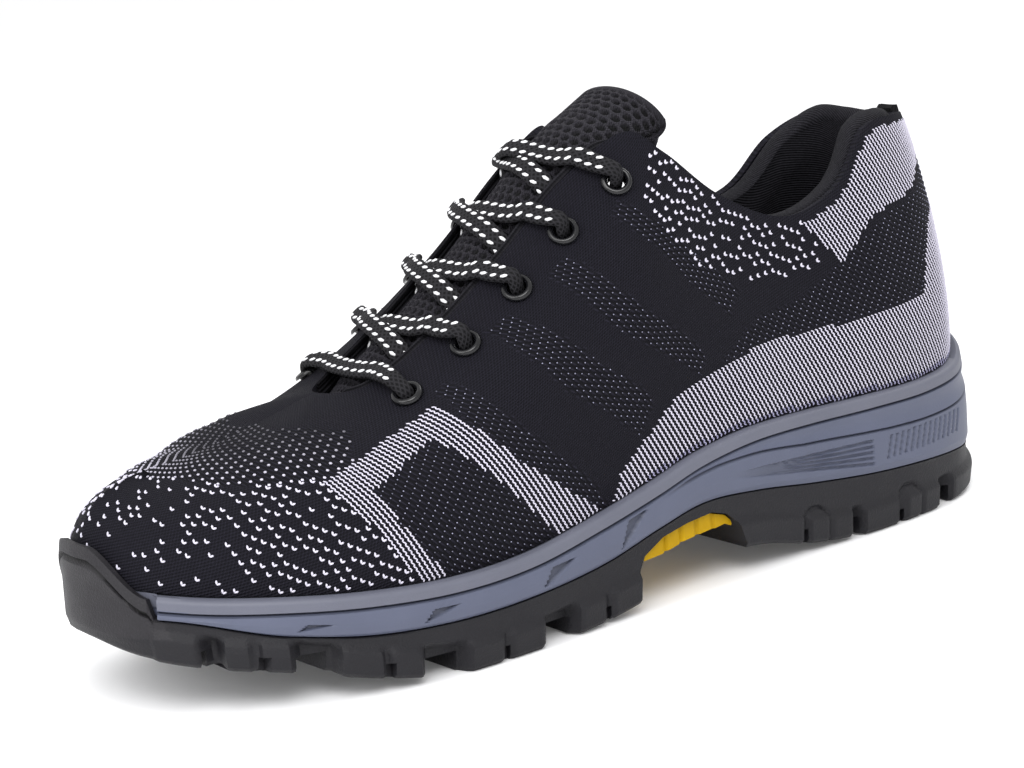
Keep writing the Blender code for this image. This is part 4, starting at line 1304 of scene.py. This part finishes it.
def midsole_profile(row):
    """Heights and outs up one side, with points gathered at the two grooves, and the painted shade at each
    point.
    """
    seam = sole_heights(row)[0]
    rim = foot_point(row, 1)[2] - GAP
    groove = rim - BAND_HEIGHT
    body = groove - seam
    x = foot_point(row, 1)[0] / MM
    second = groove - np.interp(x, *zip(*SECOND_GROOVE)) * MM
    second = max(second, seam + 0.2 * body)
    heights = np.concatenate([
        np.linspace(seam, second - GROOVE_EDGE, 44), [second],
        np.linspace(second + GROOVE_EDGE, groove - GROOVE_EDGE, 10), [groove],
        np.linspace(groove + GROOVE_EDGE, rim - RIM_ROUND, 7), [rim - RIM_ROUND / 2, rim],
    ])
    knots = [
        (seam, SIDE_OUT - 0.0010), (seam + 0.10 * body, SIDE_OUT - 0.0003), (seam + 0.45 * body, SIDE_OUT),
        (groove - 0.0012, SIDE_OUT - 0.0002), (groove + 0.0008, SIDE_OUT - 0.0006),
        (rim - RIM_ROUND, SIDE_OUT - 0.0008), (rim, RIM_OUT),
    ]
    out = np.interp(heights, *zip(*knots))
    out[-2] += 0.0003
    rear = ease(-x, 2, 20)
    out[heights == groove] -= GROOVE_DEPTH
    out[heights == second] -= SECOND_DEPTH * rear
    between = (heights > second) & (heights < groove)
    share = (heights[between] - second) / (groove - second)
    out[between] -= PANEL_DEPTH * rear * np.sin(np.pi * share)
    relief = np.array([side_relief(x, height / MM, seam / MM) for height in heights]) * (heights < second)
    # The marks are painted shade: darker where the flutes, the hatch and the hollows are deeper, full in the
    # top groove, and in the second groove only towards the heel. The top groove's dark line is partly the
    # sole's own paint and partly painted shade.
    shade_marks = np.clip(relief * 0.6, 0, 1)
    shade_marks[heights == groove] = 1
    shade_marks[heights == second] = rear
    return out - relief * MM, heights, shade_marks


def make_midsole(material):
    """Foam from the seam with the outsole up to its rim, fading out under the toe bumper."""
    stations = np.concatenate([np.linspace(0, FINE_END, 300), np.linspace(FINE_END, MIDSOLE_END[0], 250)[1:],
                               [MIDSOLE_END[1], 15.1, 15.5, TOE]])
    rings, shade_marks = [], []
    for row in stations:
        out, heights, mark = midsole_profile(row)
        shown = 1 - ease(row, *MIDSOLE_END)
        profile = [(-0.0010, heights[0]), *zip(out * shown, heights)]
        rings.append(sole_ring(row, profile, dip=0))
        shade_marks.append(np.concatenate([[0], mark, np.zeros(3), mark[::-1], np.zeros(4)]))
    bm = ring_bmesh(np.array(rings), np.array(shade_marks))
    band = bm.verts.layers.float.new("band")
    rims = np.array([foot_point(row, 1) for row in stations])
    for vert in bm.verts:
        rim = np.interp(vert.co.x, rims[:, 0], rims[:, 2])
        vert[band] = float(vert.co.z > rim - GAP - BAND_HEIGHT + 0.0001)
    finish_piece("foam_midsole", bm, material, ["midsole"])


# U marks on the heel lugs, in millimetres: x of the middle, half width, and height of the legs above
# the tread. MARK_LINE is the depth of their lines and half their width.
UMark = namedtuple("UMark", "x half height")
U_MARKS = [UMark(-63.1, 4.6, 6.0), UMark(-100.0, 4.8, 6.0)]
MARK_LINE = 0.7

# The bumper's groove, in millimetres under its upper edge, and the bumper's inner face and lighter rubber
BUMPER_GROOVE = 4.1
BUMPER_GROOVE_DEPTH = 1.1
BUMPER_GROOVE_HALF = 0.8
BUMPER_IN = 0.0006
BUMPER_BAND = 0.022

# The lugs' swelling, and how far the side sinks at the gaps and slits, in millimetres
LUG_SWELL = 1.1
GAP_SINK = 5.0
SLIT_SINK = 1.3
LUG_FADE = (6.5, 9.5)


def lug_form(x, above):
    """How far the side stands out in millimetres: lugs swell a little and sink away at their gaps."""
    form = LUG_SWELL
    for gap in TREAD_GAPS:
        middle = (gap.front + gap.back) / 2 * LENGTH / MM
        half = (gap.front - gap.back) / 2 * LENGTH / MM
        form -= GAP_SINK * (1 - ease(abs(x - middle), half - 0.6, half + 2.2))
    for place in TREAD_SLITS:
        form -= SLIT_SINK * (1 - ease(abs(x - place * LENGTH / MM), 0.5, 1.6))
    return form * (1 - ease(above, *LUG_FADE))


def bumper_line(rim, height):
    return line_depth(rim - BUMPER_GROOVE - height, BUMPER_GROOVE_HALF)


def outsole_relief(x, height, tread, rim, bumper):
    """Depth in millimetres of the lug gaps, the U marks and the bumper's groove at one place."""
    depth = -lug_form(x, height - tread) * (1 - bumper)
    for mark in U_MARKS:
        over = max(height - (tread + mark.height), 0)
        away = np.hypot(x - mark.x, over) - mark.half
        depth += MARK_LINE * line_depth(away, MARK_LINE)
    return depth + BUMPER_GROOVE_DEPTH * bumper * bumper_line(rim, height)


def make_outsole(material):
    """Rubber up to the seam, and at the toe up over the foot line, cut by the tread and the arch."""
    stations = np.concatenate([np.linspace(0, MIDSOLE_END[0], 330), [*MIDSOLE_END, *BUMPER_START],
                               np.linspace(BUMPER_START[1] + 0.02, TOE, 60)])
    rings, shade_marks = [], []
    for row in np.unique(stations):
        seam, tread = sole_heights(row)
        bumper = ease(row, *BUMPER_START)
        top = seam - GAP
        rim = top + (bumper_top(row) - top) * bumper
        wall_out = BUMPER_IN + BUMPER_WALL
        body = top - tread
        knots = [
            (BASE_OUT - LUG_EDGE, tread), (BASE_OUT, tread + LUG_EDGE),
            (BASE_OUT + 0.0008, tread + 0.45 * body),
            (wall_out - 0.0003, top - 0.0004 + (rim - top) * 0.45),
            (wall_out, rim - 0.0030 * bumper - 0.0002), (wall_out - 0.0006, rim),
        ]
        knot_outs, knot_heights = np.array(knots).T
        x = foot_point(row, 1)[0] / MM
        heights = np.concatenate([
            [tread, tread + LUG_EDGE / 2], np.linspace(tread + LUG_EDGE, knot_heights[-2], 30), [rim],
        ])
        out = np.interp(heights, knot_heights, knot_outs)
        out -= np.array([outsole_relief(x, h / MM, tread / MM, rim / MM, bumper) for h in heights]) * MM
        profile = [*zip(out, heights), (BUMPER_IN, rim - 0.0003 * bumper),
                   (BUMPER_IN - 0.0001, top - 4 * GAP)]
        rings.append(sole_ring(row, profile, dip=4 * GAP))
        # Painted shade in the bumper's groove.
        mark = bumper * bumper_line(rim / MM, heights / MM)
        shade_marks.append(np.concatenate([mark, np.zeros(7), mark[::-1], np.zeros(3)]))
    body = helper_object("outsole body", ring_bmesh(np.array(rings), np.array(shade_marks)))
    mesh = cut_away(body, [tread_cutter(), arch_cutter()])
    start = foot_point(BUMPER_START[0], 1)[0]
    values = [float(vert.co.x > start and vert.co.z > BUMPER_BAND) for vert in mesh.vertices]
    mesh.attributes.new("band", "FLOAT", "POINT").data.foreach_set("value", values)
    finish_mesh("rubber_outsole", mesh, material, ["outsole"])


# Cutters start down here
BELOW_FLOOR = -0.01


def tread_box(bm, front, back, left, right, roof, lean):
    """A cutter box from below the floor up to roof, between two places along the shoe."""
    size = Matrix.Diagonal((front - back, left - right, roof - BELOW_FLOOR, 1))
    turn = Matrix.Rotation(np.radians(lean), 4, "Z")
    place = Matrix.Translation(((front + back) / 2, (left + right) / 2, (roof + BELOW_FLOOR) / 2))
    bmesh.ops.create_cube(bm, size=1, matrix=place @ turn @ size)


def station_at(place):
    """The station whose foot line lies at that share of LENGTH."""
    rows = np.linspace(0, TOE, 400)
    return np.interp(place * LENGTH, foot_point(rows, 1)[:, 0], rows)


def tread_cutter():
    bm = bmesh.new()
    wide = BALL_WIDTH
    ridge = RIDGE_WIDTH / 2
    for gap in TREAD_GAPS:
        roof = sole_heights(station_at((gap.front + gap.back) / 2))[1] + LUG_DEPTH
        for left, right, lean in ((wide, ridge, gap.lean), (-ridge, -wide, -gap.lean)):
            tread_box(bm, gap.front * LENGTH, gap.back * LENGTH, left, right, roof, lean)
    for place in TREAD_SLITS:
        row = station_at(place)
        tread = sole_heights(row)[1]
        for side in (1, -1):
            edge = side_point(row, side, BASE_OUT - SLIT_DEPTH, 0)[1]
            tread_box(bm, place * LENGTH + SLIT_WIDTH / 2, place * LENGTH - SLIT_WIDTH / 2,
                      edge if side < 0 else wide, -wide if side < 0 else edge, tread + LUG_DEPTH * 0.8, 0)
    return helper_object("tread cutter", bm)


def arch_roof(place):
    """Height of the arch over the floor, at that share of LENGTH."""
    return np.interp(place, *zip(*ARCH[::-1])) * ARCH_HEIGHT


def arch_cutter():
    ends = np.array([1, -1]) * BALL_WIDTH
    high = np.array([[(row.place * LENGTH, end, row.roof * ARCH_HEIGHT) for end in ends] for row in ARCH])
    low = high.copy()
    low[..., 2] = BELOW_FLOOR
    return helper_object("arch cutter", ring_bmesh(np.concatenate([high, low[:, ::-1]], axis=1)))


# The insert's side notches, and the way over which it thins at its ends, in stations
NOTCH_DEPTH = 0.0007
NOTCH_HALF = 0.9
INSERT_TAPER = 0.35
INSERT_THIN = 0.35


def make_arch_insert(material):
    front, back = [station_at(place) for place in INSERT_ENDS]
    rows = np.linspace(front, back, 80)
    high, low = [], []
    for row in rows:
        place = foot_point(row, 1)[0] / LENGTH
        end_share = min(abs(row - front), abs(row - back)) / INSERT_TAPER
        wall = INSERT_WALL * min(1.0, INSERT_THIN + (1 - INSERT_THIN) * end_share)
        roof = arch_roof(place) - 2 * GAP
        notch = NOTCH_DEPTH * line_depth(np.abs(INSERT_NOTCHES - place * LENGTH / MM).min(), NOTCH_HALF)
        edges = [side_point(row, side, BASE_OUT - 0.0010 - notch, roof) for side in (1, -1)]
        share = np.linspace(0, 1, 25)[:, None]
        line = edges[0] * (1 - share) + edges[1] * share
        high.append(line)
        low.append(line - np.array([0, 0, wall]))
    bm = slab_bmesh(np.array(high), np.array(low))
    finish_piece("arch_cover", bm, material, ["arch_insert"])


# Eyelets
def make_eyelets(material):
    bore = EYELET_HOLE / 2
    barrel = bore + 0.0007
    flange = EYELET_OUTER / 2
    base = GAP + 0.0003
    foot = -UPPER_WALL - GAP
    middle, half = (bore + flange) / 2, (flange - bore) / 2
    rounded = [(middle - half * np.cos(angle), base + EYELET_RIM * np.sin(angle))
               for angle in np.linspace(0, np.pi, 9)]
    profile = [(bore, foot), *rounded, (barrel, base), (barrel, foot)]
    for name, point, normal in eyelet_places():
        bm = bmesh.new()
        ring = [bm.verts.new((radius, 0, height)) for radius, height in profile]
        edges = [bm.edges.new((ring[i], ring[(i + 1) % len(ring)])) for i in range(len(ring))]
        bmesh.ops.spin(bm, geom=ring + edges, cent=(0, 0, 0), axis=(0, 0, 1), angle=2 * np.pi,
                       steps=48, use_merge=True)
        bmesh.ops.remove_doubles(bm, verts=bm.verts, dist=MERGE)
        bmesh.ops.transform(bm, matrix=turned_to(point, normal), verts=bm.verts)
        bmesh.ops.recalc_face_normals(bm, faces=bm.faces)
        finish_piece(name + "_ring", bm, material, [name])


# Laces
EYELET_ACROSS = across_at(EYELET_INSET)
EYELET_LIFT = 2 * GAP + EYELET_RIM + LACE_WALL / 2 + 0.0006
EDGE_LIFT = 2 * GAP + LACE_WALL / 2 + 0.0004
CORD_STEPS = 110
DASH_PITCH = 0.0034
DASH_SIZE = (0.00135, 0.00056, 0.00038)
DASH_TINT = (0.74, 0.74, 0.76)
DASH_ACROSS = 0.27
DASH_LEAN = 0.35

# The bottom bar: its places across, out from the middle, and its last three heights down into an eyelet
BAR_SHARES = (0.25, 0.5, 0.7, 0.86, 0.97, 1.0, 1.0)
BAR_DIVE = np.array([1.8, -0.5, -4.0]) * MM

# A strand's way in across values: its tucked end, where it shows first, and where two strands cross
TUCKED = (1.45, 1.08)
STRAND_START = 0.62
CROSSING = 0.42
STRAND_DIVE = (-0.0005, -0.0045)

# How the cords narrow towards the eyelets, as places along them and shares of their width
BAR_NARROW = ([0, 0.12, 0.25, 0.75, 0.88, 1], [0.66, 0.72, 1, 1, 0.72, 0.66])
STRAND_NARROW = ([0, 0.76, 0.90, 1], [1, 1, 0.70, 0.62])
CORD_ANGLE = 70


def smooth_path(points, steps):
    """An even curve through the points."""
    points = np.array(points)
    lengths = run_along(points)
    padded = np.concatenate([[2 * points[0] - points[1]], points, [2 * points[-1] - points[-2]]])
    at = np.interp(np.linspace(0, lengths[-1], steps), lengths, np.arange(len(points)))
    base = np.minimum(at.astype(int), len(points) - 2)
    return curve_at((at - base)[:, None], *[padded[base + step] for step in range(4)])


def lace_frame(centre, flat_normals, bends):
    """Side directions of a flat cord: square to the instep where it lies flat, carried on where it dips."""
    ahead = unit(np.gradient(centre, axis=0))
    beside = unit(np.cross(flat_normals, ahead), 1e-9)
    first, last = bends
    order = [(i, i + 1) for i in range(first - 1, -1, -1)]
    order += [(i, i - 1) for i in range(last + 1, len(centre))]
    for i, neighbour in order:
        beside[i] = unit(beside[neighbour] - ahead[i] * (beside[neighbour] @ ahead[i]))
    return beside, np.cross(ahead, beside)


def make_cord(name, rows, across, lift, narrow, bends, materials, replaced):
    """A flat braided cord through instep places. Its two rows of white dashes are returned.

    bends are the shares of its length between which it lies flat on the instep."""
    centre = smooth_path(lifted(rows, across, lift), CORD_STEPS)
    above = smooth_path(lifted(rows, across, lift + MM), CORD_STEPS)
    shares = np.linspace(0, 1, CORD_STEPS)
    first, last = int(bends[0] * CORD_STEPS), int(bends[1] * CORD_STEPS) - 1
    beside, up = lace_frame(centre, above - centre, (first, last))
    width = LACE_WIDTH * np.interp(shares, *narrow)
    wall = LACE_WALL * (LACE_WIDTH / width) ** 0.4
    angles = np.linspace(0, 2 * np.pi, 25)[:-1]
    curve_out = np.sign(np.cos(angles)) * np.abs(np.cos(angles)) ** 0.75 / 2
    curve_up = np.sign(np.sin(angles)) * np.abs(np.sin(angles)) ** 0.85 / 2
    rings = centre[:, None] + beside[:, None] * (width[:, None] * curve_out)[..., None]
    rings = rings + up[:, None] * (wall[:, None] * curve_up)[..., None]
    finish_piece(name, ring_bmesh(rings), materials[0], replaced, CORD_ANGLE)
    run = run_along(centre)
    grains = []
    for across_share, phase in ((DASH_ACROSS, 0.0), (-DASH_ACROSS, 0.5)):
        at = np.arange(phase * DASH_PITCH, run[-1], DASH_PITCH)
        index = np.interp(at, run, np.arange(CORD_STEPS))
        pick = np.clip(np.round(index).astype(int), 1, CORD_STEPS - 2)
        pick = pick[width[pick] > 0.8 * LACE_WIDTH]
        points = centre[pick] + beside[pick] * (width[pick] * across_share)[:, None]
        points = points + up[pick] * (wall[pick] * 0.46)[:, None]
        ahead = centre[pick + 1] - centre[pick - 1]
        ahead = ahead + beside[pick] * np.linalg.norm(ahead, axis=1, keepdims=True) * DASH_LEAN
        sizes = np.tile(DASH_SIZE, (len(pick), 1))
        tint = np.tile(DASH_TINT, (len(pick), 1))
        grains.append((points, ahead, up[pick], sizes, tint))
    return grains


def make_bar(materials):
    """The lace's level run between the two lowest eyelets, diving into both."""
    shares = np.array([*(-share for share in reversed(BAR_SHARES)), 0.0, *BAR_SHARES])
    lift = EDGE_LIFT + (EYELET_LIFT - EDGE_LIFT) * ease(np.abs(shares), 0.55, 0.8)
    lift[:3] = BAR_DIVE[::-1]
    lift[-3:] = BAR_DIVE
    rows = EYELET_STATIONS[0] + 0.45 * (1 - shares ** 2)
    return make_cord("lace_bottom_bar", rows, shares * EYELET_ACROSS, lift, BAR_NARROW, (0.2, 0.8),
                     materials, ["lace_bar"])


def make_strand(name, lower, upper, side, raised, materials, replaced):
    """From under one throat edge, over the tongue, and down through the eyelet on the other side.

    The strand that dips under the inner edge runs almost level, and the other one slants across it."""
    share = np.linspace(0, 1, 14)
    across = side * (STRAND_START - share * (STRAND_START + EYELET_ACROSS * 0.95))
    if side < 0:
        climb = 0.40 + 0.60 * share ** 3
    else:
        climb = 0.06 + 0.52 * share + 0.42 * share ** 4
    rows = lower + (upper - lower) * climb
    start = rows[0]
    tongue = -tongue_depth(rows, across) + 2 * GAP + LACE_WALL / 2 + 0.0003
    over = EDGE_LIFT + (EYELET_LIFT - EDGE_LIFT) * ease(np.abs(across), 1.15, 1.45)
    out = ease(-side * across, -0.30, 0.85)
    hump = raised * LACE_WALL * np.exp(-((across + CROSSING) / CROSSING) ** 2)
    lift = tongue * (1 - out) + over * out + hump
    sunk = -(UPPER_WALL + FACING_WALL + 4 * GAP + LACE_WALL / 2)
    rows = np.concatenate([[lower, lower + 0.2 * (start - lower)], rows, [upper, upper]])
    across = np.concatenate([side * np.array(TUCKED), across, np.array([-side, -side]) * EYELET_ACROSS])
    lift = np.concatenate([[sunk - 0.0006, sunk - 0.0004], lift, STRAND_DIVE])
    return make_cord(name, rows, across, lift, STRAND_NARROW, (0.04, 0.84), materials, replaced)


def make_laces(materials):
    grains = make_bar(materials)
    levels = list(zip(EYELET_STATIONS[:-1], EYELET_STATIONS[1:]))
    for number, (lower, upper) in enumerate(levels, start=1):
        near_on_top = number < len(levels)
        low_side = -1 if near_on_top else 1
        replaced = [f"lace_cross_{number}"]
        grains += make_strand(f"lace_under_{number}", lower, upper, low_side, 0, materials, replaced)
        grains += make_strand(f"lace_over_{number}", lower, upper, -low_side, 1, materials, [])
    set_grains("lace_dashes", grains, materials[1])


# Floor, lights and camera
def make_stage():
    bm = bmesh.new()
    bmesh.ops.create_grid(bm, x_segments=1, y_segments=1, size=6.0)
    floor = placed("floor", plain_mesh("floor", bm))
    floor.location.z = -0.0002
    material, _, shader = new_material("white floor", (0.92, 0.92, 0.93), roughness=0.6)
    shader.inputs["Emission Color"].default_value = (1, 1, 1, 1)
    shader.inputs["Emission Strength"].default_value = 0.06
    floor.data.materials.append(material)


def add_light(name, place, aim, size, power):
    light = bpy.data.lights.new(name, "AREA")
    light.shape = "DISK"
    light.size = size
    light.energy = power
    item = placed(name, light)
    item.location = place
    item.rotation_euler = (Vector(aim) - Vector(place)).to_track_quat("-Z", "Y").to_euler()


def make_lights():
    world = bpy.data.worlds.new("studio")
    world.use_nodes = True
    background = world.node_tree.nodes["Background"]
    background.inputs["Color"].default_value = (1, 1, 1, 1)
    background.inputs["Strength"].default_value = 1.0
    bpy.context.scene.world = world
    add_light("key", (0.5, 0.9, 1.1), (0, 0, 0.04), 0.9, 14)
    add_light("fill", (0.9, 0.2, 0.7), (0, 0, 0.04), 0.8, 6)
    add_light("rim", (-0.9, -0.2, 1.0), (0, 0, 0.06), 0.7, 4)


def make_camera():
    bearing, height, roll = np.radians([VIEW_BEARING, VIEW_HEIGHT, VIEW_ROLL])
    back = Vector((np.sin(bearing) * np.cos(height), -np.cos(bearing) * np.cos(height), np.sin(height)))
    level = Vector((0, 0, 1)).cross(back).normalized()
    upright = back.cross(level)
    right = level * np.cos(roll) + upright * np.sin(roll)
    up = upright * np.cos(roll) - level * np.sin(roll)
    lens = bpy.data.cameras.new("camera")
    lens.lens = VIEW_LENS
    lens.sensor_width = FILM_WIDTH
    lens.clip_start = 0.01
    camera = placed("camera", lens)
    turn = Matrix((right, up, back)).transposed().to_4x4()
    camera.matrix_world = Matrix.Translation(VIEW_AIM + back * VIEW_DISTANCE) @ turn
    bpy.context.scene.camera = camera
    bpy.context.scene.view_settings.view_transform = "Standard"


GRAINS = grain_nodes()
KNIT = knit_material()
YARN = yarn_material()
make_upper(KNIT)
make_yarn(YARN)
make_collar_padding(ribbed_material("collar ribbing", (0.0035, 0.0034, 0.0045), (0.030, 0.029, 0.036),
                                    pitch=0.0008, lean=0.6, depth=0.00018))
make_facings(ribbed_material("facing tape", (0.0035, 0.0034, 0.0045), (0.022, 0.021, 0.026),
                             pitch=0.0012, lean=0.0, depth=0.0003))
make_tongue(spacer_material())
make_heel_tape(ribbed_material("pull tape weave", (0.0025, 0.0025, 0.003), (0.013, 0.0125, 0.015),
                               pitch=0.0009, lean=0.4, depth=0.0002))
make_midsole(foam_material())
make_outsole(rubber_material())
make_arch_insert(insert_material())
make_eyelets(eyelet_material())
make_laces((lace_material(), YARN))
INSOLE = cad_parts["insole"]
INSOLE.data.materials.clear()
INSOLE.data.materials.append(insole_material())
make_stage()
make_lights()
make_camera()
